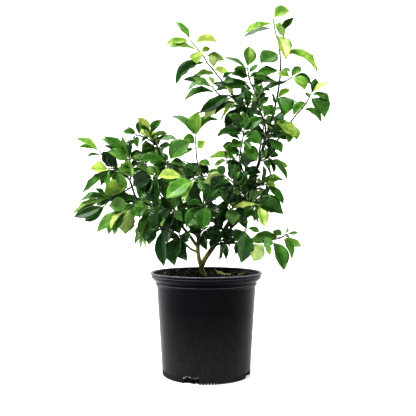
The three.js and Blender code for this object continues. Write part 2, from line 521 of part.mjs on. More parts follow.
function distances(points) {
  const reach = [0];
  for (let i = 1; i < points.length; i++) {
    reach.push(reach[i - 1] + points[i].distanceTo(points[i - 1]));
  }
  return reach;
}

// The point and the way ahead at a share of a route's length.
function along(points, share) {
  const reach = distances(points);
  const at = Math.min(share * reach.at(-1), reach.at(-1) - LEAF.rootInset);
  const i = Math.max(1, reach.findIndex((distance) => distance >= at));
  const ahead = points[i].clone().sub(points[i - 1]).normalize();
  return { point: points[i - 1].clone().addScaledVector(ahead, at - reach[i - 1]), ahead };
}

// Leaves

// The way from the plant's middle to a place, level with the ground.
function outwards(from) {
  return new THREE.Vector3(from.x, 0, 0).clampLength(0, 1);
}

// The upper face of a leaf whose shown width is given: towards the front, tipped to the sky by as
// much as makes a blade of its true width look that narrow.
function shownLeaf(base, tip, shown, bow) {
  const ahead = tip.clone().sub(base).normalize();
  const length = tip.distanceTo(base);
  const lean = Math.cos(THREE.MathUtils.degToRad(LEAF.lean));
  const widest = Math.abs(shown) * LEAF.fullness;
  const width = Math.max(widest / lean, LEAF.slim * length);
  const front = squareTo(FRONT, ahead).normalize().multiplyScalar(Math.sign(shown));
  const sky = ahead.clone().cross(front);
  if (sky.dot(UP.clone().addScaledVector(outwards(base), LEAF.outward)) < 0) sky.negate();
  const share = widest / width;
  const face = front.multiplyScalar(share).addScaledVector(sky, Math.sqrt(1 - share * share));
  return { base, tip, width, face, bow };
}

// A leaf of the plant's back: set round the twig by a steady turn, its face to the sky and outwards.
function backLeaf(points, index, count, draw) {
  const { point, ahead } = along(points, (index + 1) / count);
  const across = ahead.clone().cross(UP).normalize();
  const above = across.clone().cross(ahead);
  const angle = index * BACK_LEAF.turn + draw() * BACK_LEAF.stray;
  const length = THREE.MathUtils.lerp(BACK_LEAF.shortest, BACK_LEAF.longest, draw());
  const way = ahead.clone().multiplyScalar(BACK_LEAF.ahead)
    .addScaledVector(across, Math.cos(angle))
    .addScaledVector(above, Math.sin(angle))
    .addScaledVector(UP, -BACK_LEAF.droop)
    .normalize();
  const tip = point.clone().addScaledVector(way, length);
  const face = squareTo(new THREE.Vector3(point.x, point.y, BACK_LEAF.faceHeight), way).normalize();
  return { base: point, tip, width: BACK_LEAF.width * length, face };
}

// The outlines of a leaf from its root to its tip: a slim petiole, then a folded, arched blade with
// a waved edge. Each outline runs midrib, right edge, underside, left edge.
function leafOutlines({ base, tip, width, face, bow = LEAF.bow }, margin = 0) {
  const length = tip.distanceTo(base);
  const ahead = tip.clone().sub(base).divideScalar(length);
  const side = ahead.clone().cross(face);
  const sag = outwards(base).add(FRONT).multiplyScalar(LEAF.sag);
  const rise = squareTo(UP.clone().add(sag), ahead);
  const petiole = Math.min(LEAF.petiole, LEAF.longestPetiole / length);
  const outline = (share, half, thick, edge) => {
    const centre = base.clone()
      .addScaledVector(ahead, share * length)
      .addScaledVector(rise, bow * length * 4 * share * (1 - share));
    const folded = thick < half ? half * LEAF.fold : 0;
    const corner = (across, up) => centre.clone().addScaledVector(side, across).addScaledVector(face, up);
    return [
      corner(0, thick),
      corner(half, folded + edge),
      corner(0, -thick),
      corner(-half, folded - edge),
    ];
  };
  const stations = length < LEAF.short ? SHORT_BLADE : LONG_BLADE;
  const blade = stations.map(([share, half], i) => {
    const wave = LEAF.wave * (i % 2 ? 1 : -1);
    const place = petiole + (1 - petiole) * share;
    return outline(place, (half * width) / 2 + margin, LEAF.thick / 2 + margin, wave);
  });
  const stalk = LEAF.petioleHalf + margin;
  const lastMidrib = blade.at(-1)[0].clone().lerp(blade.at(-1)[2], 0.5);
  const pastTip = tip.clone().sub(lastMidrib).setLength(margin);
  return {
    root: keeled(outline(0, stalk, stalk, 0)),
    neck: keeled(outline(petiole, stalk, stalk, 0)),
    blade,
    tip: [tip.clone().add(pastTip)],
  };
}

// A petiole's outline with three corners: the midrib's one falls in with the left one.
function keeled([, right, underside, left]) {
  return [left, right, underside, left];
}

function leafSolid(leaf, margin) {
  const { root, neck, blade, tip } = leafOutlines(leaf, margin);
  return loft([root, neck, ...blade, tip]);
}

function bladeWithMargin(leaf) {
  const { neck, blade, tip } = leafOutlines(leaf, LEAF.margin);
  return loft([neck, ...blade, tip]);
}

// The plant, stem by stem

const grown = []; // what has grown so far: { owner, solid, box }

function boxOf(solid) {
  const { min, max } = solid.boundingBox();
  return new THREE.Box3(new THREE.Vector3(...min), new THREE.Vector3(...max));
}

function grow(owner, solid) {
  grown.push({ owner, solid, box: boxOf(solid) });
  return solid;
}

function meets(solid, owners) {
  const box = boxOf(solid);
  return grown.some((other) => owners(other.owner) && other.box.intersectsBox(box)
    && !other.solid.intersect(solid).isEmpty());
}

// The leaf as it is, or with its tip swung forward or back until its blade is clear of what has
// grown: of everything if that can be, and otherwise of the other stems.
function cleared(leaf, twig, name) {
  const tests = [(owner) => owner !== twig, (owner) => owner !== twig && owner.name !== name];
  for (const owners of tests) {
    for (const swing of SWINGS) {
      const swung = leaf(swing);
      if (!meets(bladeWithMargin(swung), owners)) return swung;
    }
  }
  return null;
}

function leavesOf(twig, draw) {
  const shown = twig.leaves.map(([share, x, z, depth, width, , bow]) => {
    const { point } = along(twig.points, share);
    return (swing) => shownLeaf(point, place([x, z, point.y + depth + swing]), width, bow);
  });
  const behind = Array.from({ length: twig.back ?? 0 }, (_, index) => {
    const leaf = backLeaf(twig.points, index, twig.back, draw);
    return (swing) => ({ ...leaf, tip: leaf.tip.clone().addScaledVector(FRONT, -swing) });
  });
  return [...shown, ...behind];
}

function growPlant() {
  const limbs = LIMBS.map((limb) => ({ sides: LIMB_SIDES, ...limb, points: limb.route.map(placeOnRoute) }));
  const wood = limbs.map((limb) => grow({ name: "trunk" }, stem(limb)));
  const clearance = limbs.map((limb) => stem(limb, GAP)).reduce((all, limb) => all.add(limb));
  const stems = Object.entries(STEMS).map(([name, twigs]) => ({
    name,
    twigs: twigs.map((twig) => ({ leaves: [], ...twig, name, points: twig.route.map(placeOnRoute) })),
  }));
  for (const { twigs } of stems) {
    for (const twig of twigs) twig.solid = grow(twig, stem(twig));
  }
  const draw = seededDraw(SEED);
  for (const { name, twigs } of stems) {
    for (const twig of twigs) {
      for (const leaf of leavesOf(twig, draw)) {
        const clear = cleared(leaf, twig, name);
        if (clear) twig.solid = twig.solid.add(grow({ name }, leafSolid(clear)));
      }
    }
  }
  return { trunk: wood.reduce((all, limb) => all.add(limb)), clearance, stems };
}

// A leafy stem as one solid, cut clear of the limb that it grows from.
function leafyStem({ twigs }, clearance) {
  const whole = twigs.map((twig) => twig.solid).reduce((all, twig) => all.add(twig));
  return withoutScraps(whole.subtract(clearance));
}

// A cut solid without the loose scraps that the cut leaves.
function withoutScraps(solid) {
  const larger = (one, other) => (one.volume() > other.volume() ? one : other);
  return solid.decompose().reduce(larger);
}

// Pot, soil and litter

function potProfile() {
  const { height, lip, neck, foot, wall, floor } = POT;
  const { ledge, ledgeStep, edge, groove, grooveAt, inner } = RIM;
  const body = neck - ledgeStep;
  return [
    [0, 0], [foot - edge, 0], [foot, edge], [body, ledge - edge], [neck + ledgeStep, ledge],
    [neck + ledgeStep, ledge + edge], [neck, ledge + 2 * edge], [FLARE.start, FLARE.startAt],
    [FLARE.end, FLARE.endAt], [FLARE.end, grooveAt - edge], [groove, grooveAt],
    [lip, grooveAt + edge], [lip, height - edge], [lip - edge, height],
    [inner + edge, height], [inner, height - 2 * edge], [inner, FLARE.endAt + edge],
    [FLARE.start - wall, FLARE.startAt + wall], [neck - wall, ledge + 3 * edge],
    [neck - wall, ledge + edge], [body - wall, ledge - edge],
    [foot - wall, floor + edge], [foot - wall - edge, floor], [0, floor],
  ].map(([radius, z]) => new THREE.Vector2(radius, z));
}

// A lathe about the plant's upright axis.
function turned(profile, facets) {
  return new THREE.LatheGeometry(profile, facets).rotateX(Math.PI / 2);
}

function pot() {
  let shell = solidOf(turned(potProfile(), POT.facets));
  for (let i = 0; i < NOTCH.count; i++) {
    const opening = new THREE.BoxGeometry(NOTCH.width, NOTCH.depth, 2 * NOTCH.height)
      .translate(0, -POT.foot, 0)
      .rotateZ(THREE.MathUtils.degToRad(NOTCH.first + (i * 360) / NOTCH.count));
    shell = shell.subtract(solidOf(opening));
  }
  return shell;
}

// Height of the soil: gently rippled, heaped at the back left, level at the pot's wall.
function soilLevel(x, y, edge) {
  const fromHeap = Math.hypot(x - HEAP.at[0], y - HEAP.at[1]) / HEAP.spread;
  const ripple = RIPPLE.height * Math.sin(x / RIPPLE.alongX) * Math.cos(y / RIPPLE.alongY);
  return SOIL.level + (HEAP.height * Math.exp(-fromHeap * fromHeap) + ripple) * (1 - edge ** 4);
}

function soilBlock() {
  const bottom = POT.foot - POT.wall - RIM.edge - SOIL.wallGap;
  const body = POT.neck - RIM.ledgeStep - POT.wall - SOIL.wallGap;
  const base = POT.floor + GAP;
  const flare = FLARE.start - POT.wall - SOIL.flareGap;
  const top = RIM.inner - 2 * SOIL.flareGap;
  const side = [[0, base], [bottom, base], [body, RIM.ledge - RIM.edge],
    [body, FLARE.startAt - 2 * RIM.edge], [flare, FLARE.startAt + POT.wall + SOIL.flareGap / 2],
    [top, SOIL.level]];
  const radii = Array.from({ length: SOIL.rings }, (_, i) => top * (1 - (i + 1) / SOIL.rings));
  const profile = [...side, ...radii.map((radius) => [radius, SOIL.level])]
    .map(([radius, z]) => new THREE.Vector2(radius, z));
  const geometry = turned(profile, SOIL.facets);
  const { position } = geometry.attributes;
  for (let i = 0; i < position.count; i++) {
    if (position.getZ(i) < SOIL.level - GAP) continue;
    const x = position.getX(i);
    const y = position.getY(i);
    position.setZ(i, soilLevel(x, y, Math.hypot(x, y) / top));
  }
  return solidOf(geometry);
}

function trunkHole() {
  const [x, , y] = LIMBS[0].route[0];
  const across = TRUNK.diameter + 2 * SOIL.footGap;
  const points = [TRUNK.buriedTo - GAP, POT.height].map((z) => new THREE.Vector3(x, y, z));
  return stem({ points, girth: [across, across], sides: TRUNK.sides });
}

// A split bark chip, widest in the middle.
function chip({ at, size, turn, tip }, margin = 0) {
  const [length, width, thick] = size.map((extent) => extent + 2 * margin);
  const end = (where, share) => [[1, 1], [-1, 1], [-1, -1], [1, -1]].map(([across, up]) =>
    new THREE.Vector3(where, (across * width * share) / 2, (up * thick * share) / 2));
  const block = loft([end(-length / 2, CHIP_TAPER), end(0, 1), end(length / 2, CHIP_TAPER)]);
  return block.rotate([0, -tip, turn]).translate(at);
}

function fallenLeaf(margin = 0) {
  const base = new THREE.Vector3(...FALLEN_LEAF.base);
  const tip = new THREE.Vector3(...FALLEN_LEAF.tip);
  const ahead = tip.clone().sub(base).normalize();
  const face = squareTo(new THREE.Vector3(...FALLEN_LEAF.face), ahead).normalize();
  return leafSolid({ base, tip, face, width: FALLEN_LEAF.width, bow: FALLEN_LEAF.bow }, margin);
}

function mesh(name, solid, look) {
  const material = new THREE.MeshStandardMaterial({ ...look, metalness: 0 });
  const piece = new THREE.Mesh(geometryOf(solid), material);
  piece.name = name;
  return piece;
}

// A stem's green: the mean of its leaves.
function leafLook(twigs) {
  const ages = twigs.flatMap((twig) => twig.leaves.map((leaf) => leaf[5]));
  const mean = ages.reduce((sum, age) => sum + age, 0) / Math.max(1, ages.length);
  const color = new THREE.Color(LEAF_GREENS.shade).lerp(new THREE.Color(LEAF_GREENS.young), mean);
  return { color, roughness: LEAF_GREENS.roughness };
}

const group = new THREE.Group();
const { trunk, clearance, stems } = growPlant();
let soil = soilBlock().subtract(trunkHole()).subtract(fallenLeaf(2 * GAP));
for (const bark of CHIPS) soil = soil.subtract(chip(bark, GAP));

group.add(mesh("pot", pot(), LOOKS.pot));
group.add(mesh("soil", withoutScraps(soil), LOOKS.soil));
group.add(mesh("trunk", trunk, LOOKS.bark));
for (const leafy of stems) {
  group.add(mesh(`stem_${leafy.name}`, leafyStem(leafy, clearance), leafLook(leafy.twigs)));
}
for (const [i, bark] of CHIPS.entries()) {
  group.add(mesh(`bark_chip_${i + 1}`, chip(bark), LOOKS.chip));
}
group.add(mesh("fallen_leaf", fallenLeaf(), LOOKS.fallen));

export default group;
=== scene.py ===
"""A young lemon tree in a black nursery pot, dressed for its photograph.

Metres, +Z up, front towards -Y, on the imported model's own frame.
"""

import math
import random
from functools import partial

import bmesh
import bpy
from mathutils import Matrix, Vector, kdtree


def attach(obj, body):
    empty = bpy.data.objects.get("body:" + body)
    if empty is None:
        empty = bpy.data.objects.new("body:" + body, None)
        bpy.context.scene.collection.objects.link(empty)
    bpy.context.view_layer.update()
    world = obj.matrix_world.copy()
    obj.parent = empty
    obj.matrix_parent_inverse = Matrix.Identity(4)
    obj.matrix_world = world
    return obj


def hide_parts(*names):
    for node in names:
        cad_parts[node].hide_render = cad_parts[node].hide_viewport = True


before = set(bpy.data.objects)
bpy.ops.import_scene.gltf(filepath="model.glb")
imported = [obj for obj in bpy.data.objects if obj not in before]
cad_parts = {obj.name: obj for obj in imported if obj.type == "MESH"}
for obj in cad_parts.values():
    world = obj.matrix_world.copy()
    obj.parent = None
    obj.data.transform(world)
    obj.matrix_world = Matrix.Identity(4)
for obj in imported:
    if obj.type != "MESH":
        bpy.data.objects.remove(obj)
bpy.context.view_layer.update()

# ---- The nursery pot ----
# About 2 mm of black polyethylene, injection moulded in one shot: a rolled lip, a stacking ledge under
# it, a fluted foot that stands on the ends of its flutes, and drainage openings broken out of the corner.

MM = 0.001
POT_PROFILE = [  # radius and height in mm: up the outside, over the lip and down the inside
    (0, 2), (93.5, 2), (98.5, 0.3), (100, 0), (103, 0), (104.8, 2), (105, 6), (105.2, 9), (105.4, 12),
    (105.5, 15), (105.7, 18), (105.9, 22), (118.1, 211), (121.1, 213.5), (121.3, 216.5), (120, 219),
    (120.8, 221), (126.4, 225.5), (129.9, 229.5), (131.4, 232.5), (131.2, 235), (129.6, 236.8),
    (133.3, 238.4), (134.5, 239.8), (134.4, 241.6), (133.1, 243), (130.7, 243), (128.9, 241.4),
    (127.8, 238), (127.7, 233.5), (124.2, 227.8), (117.8, 221.2), (117.6, 218.5), (115.9, 211),
    (103.7, 22), (103.4, 17), (103.2, 13), (102.9, 8), (102.5, 6.2), (101, 4.6), (0, 4.6),
]
POT_SIZES = {
    "Corner Radius": 1.1 * MM,
    "Facets": 560,
    "Flutes": 90,
    "Flute Depth": 1.5 * MM,
    "Flute Height": 17 * MM,
    "Foot Gap": 3.5 * MM,  # how far the corner lifts between two flutes
    "Openings": 4,
    "Opening Turn": math.radians(-20),
    "Opening Size": (38 * MM, 18 * MM, 29 * MM),
    "Opening Radius": 106.5 * MM,
    "Torn Edge": 20 * MM,
}


def linear(code):
    """The linear colour of an sRGB hex value."""
    parts = [int(code[i : i + 2], 16) / 255 for i in (1, 3, 5)]
    return (*((c / 12.92 if c <= 0.04045 else ((c + 0.055) / 1.055) ** 2.4) for c in parts), 1)


def feed(node, inputs):
    """Gives a node's inputs, by name or place, a value, a hex colour, or one or more nodes' outputs."""
    for place, value in inputs.items():
        named = (socket for socket in node.inputs if socket.enabled and socket.name == place)
        socket = next(named, None) or node.inputs[place]
        sources = value if isinstance(value, list) else [value]
        if isinstance(sources[0], bpy.types.NodeSocket):
            for source in sources:
                node.id_data.links.new(source, socket)
        else:
            socket.default_value = linear(value) if str(value).startswith("#") else value


def add_node(tree, kind, inputs=None, stops=(), **settings):
    """Adds one node, its kind named without its family, and gives back its first output."""
    families = ("GeometryNode", "ShaderNode", "FunctionNode", "")
    family = next(family for family in families if hasattr(bpy.types, family + kind))
    node = tree.nodes.new(family + kind)
    for name, value in settings.items():
        setattr(node, name, value)
    feed(node, inputs or {})
    for i, (position, colour) in enumerate(stops):
        ramp = node.color_ramp.elements
        stop = ramp[i] if i < 2 else ramp.new(position)
        stop.position, stop.color = position, linear(colour) if isinstance(colour, str) else colour
    return next((socket for socket in node.outputs if socket.enabled), node)


def new_tree(name, sizes):
    """A geometry tree with named inputs for its sizes, the call that adds its nodes, and its inputs."""
    tree = bpy.data.node_groups.new(name, "GeometryNodeTree")
    tree.interface.new_socket("Geometry", in_out="INPUT", socket_type="NodeSocketGeometry")
    tree.interface.new_socket("Geometry", in_out="OUTPUT", socket_type="NodeSocketGeometry")
    kinds = {int: "NodeSocketInt", float: "NodeSocketFloat", tuple: "NodeSocketVector"}
    for label, size in sizes.items():
        socket = tree.interface.new_socket(label, in_out="INPUT", socket_type=kinds[type(size)])
        socket.default_value = size
    add = partial(add_node, tree)
    return tree, add, add("NodeGroupInput").node.outputs


def made_with(tree, blank, sizes):
    """Runs a tree of these sizes over an object and leaves the plain mesh that it makes."""
    modifier = blank.modifiers.new(tree.name, "NODES")
    modifier.node_group = tree
    for socket in tree.interface.items_tree:
        if socket.name in sizes:
            modifier[socket.identifier] = sizes[socket.name]
    graph = bpy.context.evaluated_depsgraph_get()
    graph.update()
    made = bpy.data.meshes.new_from_object(
        blank.evaluated_get(graph), preserve_all_data_layers=True, depsgraph=graph)
    blank.modifiers.remove(modifier)
    blank.data = made
    return blank


def new_object(name, data):
    """A mesh, a lamp or a camera as an object of the scene."""
    thing = bpy.data.objects.new(name, data)
    bpy.context.scene.collection.objects.link(thing)
    return thing


def drawn_line(name, points):
    """An object that is one open line through its points, ready for a tree."""
    mesh = bpy.data.meshes.new(name)
    mesh.from_pydata(points, [(i, i + 1) for i in range(len(points) - 1)], [])
    return new_object(name, mesh)


def outward_faces(piece, crease=None):
    """Welds what touches, turns every shell's faces outwards, and creases edges past an angle."""
    shell = bmesh.new()
    shell.from_mesh(piece.data)
    bmesh.ops.remove_doubles(shell, verts=shell.verts, dist=0.002 * MM)
    bmesh.ops.recalc_face_normals(shell, faces=shell.faces)
    shell.to_mesh(piece.data)
    shell.free()
    if crease:
        piece.data.set_sharp_from_angle(angle=math.radians(crease))


def new_material(name):
    """A material, the call that adds its nodes, and the object's own coordinates for its patterns."""
    material = bpy.data.materials.new(name)
    material.use_nodes = True
    paint = partial(add_node, material.node_tree)
    return material, paint, paint("TexCoord").node.outputs["Object"]


def end_in(add, geometry, material):
    """Ends a tree: its instances made real and in their material."""
    real = add("RealizeInstances", {"Geometry": geometry})
    add("NodeGroupOutput", {"Geometry": add("SetMaterial", {"Geometry": real, "Material": material})})


def finish(material, surface):
    """Sets the material's shader, whose inputs take values or the pattern's nodes."""
    feed(material.node_tree.nodes["Principled BSDF"], surface)


# A profile turned about the pot's axis: its points are drawn level, radius to the right.
TURNING_RADIUS, SEAM_WELD = 0.5 * MM, 0.02 * MM
turning, lathe, given = new_tree("turned_on_the_axis", {"Facets": 64})
ring = lathe("CurvePrimitiveCircle", {"Resolution": given["Facets"], "Radius": TURNING_RADIUS})
ring = lathe("SetCurveNormal", {"Curve": ring}, mode="Z_UP")
section = lathe("Transform", {
    "Geometry": given["Geometry"], "Translation": (-TURNING_RADIUS, 0, 0), "Scale": (1, -1, 1)})
shell = lathe("CurveToMesh", {"Curve": ring, "Profile Curve": section})
closed = lathe("MergeByDistance", {"Geometry": shell, "Distance": SEAM_WELD})
lathe("NodeGroupOutput", {"Geometry": closed})


def ragged(add, scale, reach, detail=2.0):
    """A shift that strays every way by up to half its reach, in lumps of 1 / scale."""
    noise = add("TexNoise", {"Scale": scale, "Detail": detail}).node.outputs["Color"]
    centred = add("VectorMath", {0: noise, 1: (0.5, 0.5, 0.5)}, operation="SUBTRACT")
    return add("VectorMath", {0: centred, "Scale": reach}, operation="SCALE")


# The pot's own tree: turned, fluted at the foot, then the openings broken out with a torn edge, which
# stays whitened for half a millimetre. A flute starts under the floor's edge and is as deep as it gets
# from 12 mm down, and the corner below 4 mm lifts between flutes, unevenly round the foot.
FLOOR_EDGE, WALL_FOOT, FULL_FLUTE, CORNER_TOP = 94.5 * MM, 99.5 * MM, 12 * MM, 4 * MM
FOOT_GRAIN, TEAR_GRAIN, WHITENED_EDGE = 24 * MM, 6.25 * MM, 0.5 * MM
potting, mould, given = new_tree("moulded_pot", POT_SIZES)
section = mould("MeshToCurve", {"Mesh": given["Geometry"]})
rounded = mould("FilletCurve", {
    "Curve": section, "Count": 3, "Radius": given["Corner Radius"], "Limit Radius": True}, mode="POLY")
shell = mould("Group", {"Geometry": rounded, "Facets": given["Facets"]}, node_tree=turning)
place = mould("InputPosition")
level = mould("VectorMath", {0: place, 1: (1, 1, 0)}, operation="MULTIPLY")
radius = mould("VectorMath", {0: level}, operation="LENGTH")
outward = mould("VectorMath", {0: level}, operation="NORMALIZE")
x_y_z = mould("SeparateXYZ", {0: place}).node.outputs
angle = mould("Math", {0: x_y_z["Y"], 1: x_y_z["X"]}, operation="ARCTAN2")
turns = mould("Math", {0: angle, 1: given["Flutes"]}, operation="MULTIPLY")
wave = mould("Math", {0: turns}, operation="COSINE")
valley = mould("MapRange", {"Value": wave, "From Min": -1.0}, interpolation_type="SMOOTHSTEP")
on_wall = mould("MapRange", {"Value": radius, "From Min": FLOOR_EDGE, "From Max": WALL_FOOT})
low = mould("MapRange", {"Value": x_y_z["Z"], "From Min": given["Flute Height"], "From Max": FULL_FLUTE},
    interpolation_type="SMOOTHSTEP")
share = on_wall
for part in (low, valley):
    share = mould("Math", {0: share, 1: part}, operation="MULTIPLY")
inward = mould("Math", {0: share, 1: given["Flute Depth"]}, operation="MULTIPLY")
pressed = mould("VectorMath", {0: outward, "Scale": inward}, operation="SCALE")
corner = mould("MapRange", {"Value": x_y_z["Z"], "From Min": CORNER_TOP, "From Max": 0.0})
uneven = mould("TexNoise", {"Scale": 1 / FOOT_GRAIN, "Detail": 2.0})
uneven = mould("MapRange", {"Value": uneven, "From Min": 0.38, "From Max": 0.62, "To Min": 0.3,
    "To Max": 1.5})
raised = share
for part in (corner, given["Foot Gap"], uneven):
    raised = mould("Math", {0: raised, 1: part}, operation="MULTIPLY")
upward = mould("CombineXYZ", {"Z": raised})
shift = mould("VectorMath", {0: upward, 1: pressed}, operation="SUBTRACT")
fluted = mould("SetPosition", {"Geometry": shell, "Offset": shift})
block = mould("MeshCube", {
    "Size": given["Opening Size"], "Vertices X": 20, "Vertices Y": 6, "Vertices Z": 14})
out = mould("Math", {0: given["Opening Radius"], 1: -1.0}, operation="MULTIPLY")
at_wall = mould("CombineXYZ", {"Y": out})
moved = mould("Transform", {"Geometry": block, "Translation": at_wall})
axis = mould("MeshLine", {"Count": given["Openings"], "Offset": (0, 0, 0)})
number = mould("InputIndex")
step = mould("Math", {0: math.tau, 1: given["Openings"]}, operation="DIVIDE")
turn = mould("Math", {0: number, 1: step, 2: given["Opening Turn"]}, operation="MULTIPLY_ADD")
spin = mould("CombineXYZ", {"Z": turn})
blocks = mould("InstanceOnPoints", {"Points": axis, "Instance": moved, "Rotation": spin})
blocks = mould("RealizeInstances", {"Geometry": blocks})
tear = ragged(mould, 1 / TEAR_GRAIN, given["Torn Edge"], 3.0)
torn = mould("SetPosition", {"Geometry": blocks, "Offset": tear})
broken = mould("MeshBoolean", {"Mesh 1": fluted, "Mesh 2": torn}, operation="DIFFERENCE", solver="MANIFOLD")
to_tear = mould("Proximity", {"Geometry": torn}, target_element="FACES").node.outputs["Distance"]
whitened = mould("MapRange", {"Value": to_tear, "From Min": WHITENED_EDGE, "From Max": 0.0})
broken = mould("StoreNamedAttribute", {
    "Geometry": broken, "Name": "whitened", "Value": whitened}, data_type="FLOAT", domain="POINT")
smooth = mould("SetShadeSmooth", {"Geometry": broken})

# Painted highlight lines along the lip's beads and the ledge, standing in for the glints of the lights:
# height in mm and how much. A ramp takes its first and last stops first.
PAINTED_HIGHLIGHT_LINES = [
    (210, 0), (245, 1.0), (214.8, 0), (216.4, 0.6), (218, 0), (233.4, 0), (235, 0.8), (236.6, 0),
    (240, 0), (241.8, 0.9)]
EDGES_FROM, EDGES_TO = 210 * MM, 245 * MM

# Carbon-black polyethylene as it leaves the mould: a soft satin with a cool cast, an orange-peel
# ripple of about 2 mm, painted highlight lines in spots along the lip and the ledge, a brown-grey film of
# potting dust low down, and stress-whitened edges where the openings were broken out.
black_polyethylene, paint, spot = new_material("black_moulded_polyethylene")
cloud = paint("TexNoise", {"Vector": spot, "Scale": 1 / (38 * MM), "Detail": 4.0})
black = paint("ValToRGB", {"Fac": cloud}, stops=[(0.35, "#02040a"), (0.7, "#070a12")])
height = paint("SeparateXYZ", {0: spot}).node.outputs["Z"]
dusty_low = paint("MapRange", {"Value": height, "From Min": 0.16, "From Max": 0.0, "To Max": 0.72})
grain = paint("TexNoise", {"Vector": spot, "Scale": 1 / (9 * MM), "Detail": 6.0})
speckled = paint("MapRange", {"Value": grain, "From Min": 0.3, "From Max": 0.7, "To Min": 0.55})
dust = paint("Math", {0: dusty_low, 1: speckled}, operation="MULTIPLY")
filmed = paint("Mix", {"Factor": dust, "A": black, "B": "#3b3b3a"}, data_type="RGBA")
# Noise that breaks both the painted highlight lines and the whitened edges into spots.
highlight_and_whitening_noise = paint("TexNoise", {"Vector": spot, "Scale": 1 / (5 * MM), "Detail": 5.0})
edge_height = paint("MapRange", {"Value": height, "From Min": EDGES_FROM, "From Max": EDGES_TO})
edges = paint("ValToRGB", {"Fac": edge_height}, stops=[
    ((at * MM - EDGES_FROM) / (EDGES_TO - EDGES_FROM), (highlight_strength, highlight_strength, highlight_strength, 1)) for at, highlight_strength in PAINTED_HIGHLIGHT_LINES])
patchy_highlight = paint("MapRange", {"Value": highlight_and_whitening_noise, "From Min": 0.35, "From Max": 0.7, "To Min": 0.45})
painted_highlight = paint("Math", {0: patchy_highlight, 1: edges}, operation="MULTIPLY")
# Pale painted highlights on the lip's and the ledge's edges, in spots.
with_painted_highlights = paint("Mix", {"Factor": painted_highlight, "A": filmed, "B": "#8b8995"}, data_type="RGBA")
whitened = paint("Attribute", attribute_name="whitened").node.outputs["Fac"]
patchy = paint("MapRange", {"Value": highlight_and_whitening_noise, "From Min": 0.42, "From Max": 0.58})
above_foot = paint("MapRange", {"Value": height, "From Min": 6 * MM, "From Max": 9 * MM})
patchy = paint("Math", {0: patchy, 1: above_foot}, operation="MULTIPLY")
whitened = paint("Math", {0: whitened, 1: patchy}, operation="MULTIPLY")
coloured = paint("Mix", {"Factor": whitened, "A": with_painted_highlights, "B": "#b9b3ab"}, data_type="RGBA")
roughness = paint("MapRange", {"Value": grain, "To Min": 0.24, "To Max": 0.44})
peel = paint("TexNoise", {"Vector": spot, "Scale": 1 / (2 * MM), "Detail": 2.0})
rippled = paint("Bump", {"Height": peel, "Strength": 0.25, "Distance": 0.15 * MM})
finish(black_polyethylene, {"Base Color": coloured, "Roughness": roughness, "Normal": rippled,
    "IOR": 1.51, "Specular IOR Level": 0.1})

end_in(mould, smooth, black_polyethylene)

wall_line = drawn_line("nursery_pot", [(r * MM, z * MM, 0) for r, z in POT_PROFILE])
pot = made_with(potting, wall_line, POT_SIZES)
outward_faces(pot, crease=40)
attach(pot, "root")
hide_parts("pot")

# ---- The potting mix ----
# Composted bark and peat, tipped into the pot and settled, heaped a little at the back left. Its top
# is loose crumbs and flakes of bark, with a few dry pale bits among the dark ones.

SOIL_TOP = 231 * MM
MIX_SIDE = [(0, 4.9), (97.5, 4.9), (101.3, 12), (115.5, 213), (115.7, 221.5), (123.4, 228.3), (125.8, 231)]
MIX_RINGS = 28
# The rise fades out over the last of the way to the wall, and loose bits lie inside the lip and near
# the top.
FADE_START, FADE_END, BITS_REACH, BITS_DEPTH = 111.5 * MM, 125.5 * MM, 122.5 * MM, 3.5 * MM
MIX_LUMP, CRUMBLE = 22 * MM, 1.6 * MM
MIX_SIZES = {
    "Facets": 96,
    "Heap": 8.5 * MM,
    "Heap Place": (-62 * MM, 40 * MM, SOIL_TOP),
    "Heap Reach": 100 * MM,
    "Lumps": 6.0 * MM,
    "Crumb Spacing": 2.7 * MM,
    "Flake Spacing": 9.0 * MM,
    "Seed": 7,
}
mix_body = [(r * MM, z * MM, 0) for r, z in MIX_SIDE]
mix_body += [(MIX_SIDE[-1][0] * (1 - i / MIX_RINGS) * MM, SOIL_TOP, 0) for i in range(1, MIX_RINGS + 1)]

filling, settle, given = new_tree("settled_potting_mix", MIX_SIZES)
section = settle("MeshToCurve", {"Mesh": given["Geometry"]})
body = settle("Group", {"Geometry": section, "Facets": given["Facets"]}, node_tree=turning)
place = settle("InputPosition")
height = settle("SeparateXYZ", {0: place}).node.outputs["Z"]
level = settle("VectorMath", {0: place, 1: (1, 1, 0)}, operation="MULTIPLY")
radius = settle("VectorMath", {0: level}, operation="LENGTH")
from_heap = settle("VectorMath", {0: place, 1: given["Heap Place"]}, operation="DISTANCE")
near = settle("MapRange", {"Value": from_heap, "From Min": given["Heap Reach"], "From Max": 0.0},
    interpolation_type="SMOOTHERSTEP")
heap = settle("Math", {0: near, 1: given["Heap"]}, operation="MULTIPLY")
lumpy = settle("TexNoise", {"Scale": 1 / MIX_LUMP, "Detail": 5.0, "Roughness": 0.62})
lumpy = settle("Math", {0: lumpy, 1: 0.5}, operation="SUBTRACT")
rise = settle("Math", {0: lumpy, 1: given["Lumps"], 2: heap}, operation="MULTIPLY_ADD")
inside = settle("MapRange", {"Value": radius, "From Min": FADE_END, "From Max": FADE_START})
rise = settle("Math", {0: rise, 1: inside}, operation="MULTIPLY")
on_top = settle("Compare", {"A": height, "B": SOIL_TOP - 0.5 * MM}, operation="GREATER_THAN")
upward = settle("CombineXYZ", {"Z": rise})
settled = settle("SetPosition", {"Geometry": body, "Selection": on_top, "Offset": upward})
settled = settle("SetShadeSmooth", {"Geometry": settled})
bed = settle("Math", {0: radius, 1: BITS_REACH}, operation="LESS_THAN")
top = settle("Compare", {"A": height, "B": SOIL_TOP - BITS_DEPTH}, operation="GREATER_THAN")
open_top = settle("BooleanMath", {0: top, 1: bed}, operation="AND")
loose = [settled]
crumb = settle("MeshIcoSphere", {"Radius": 1.0 * MM, "Subdivisions": 1})
flake = settle("MeshCube", {"Size": (9 * MM, 4 * MM, 1.4 * MM), "Vertices X": 3})
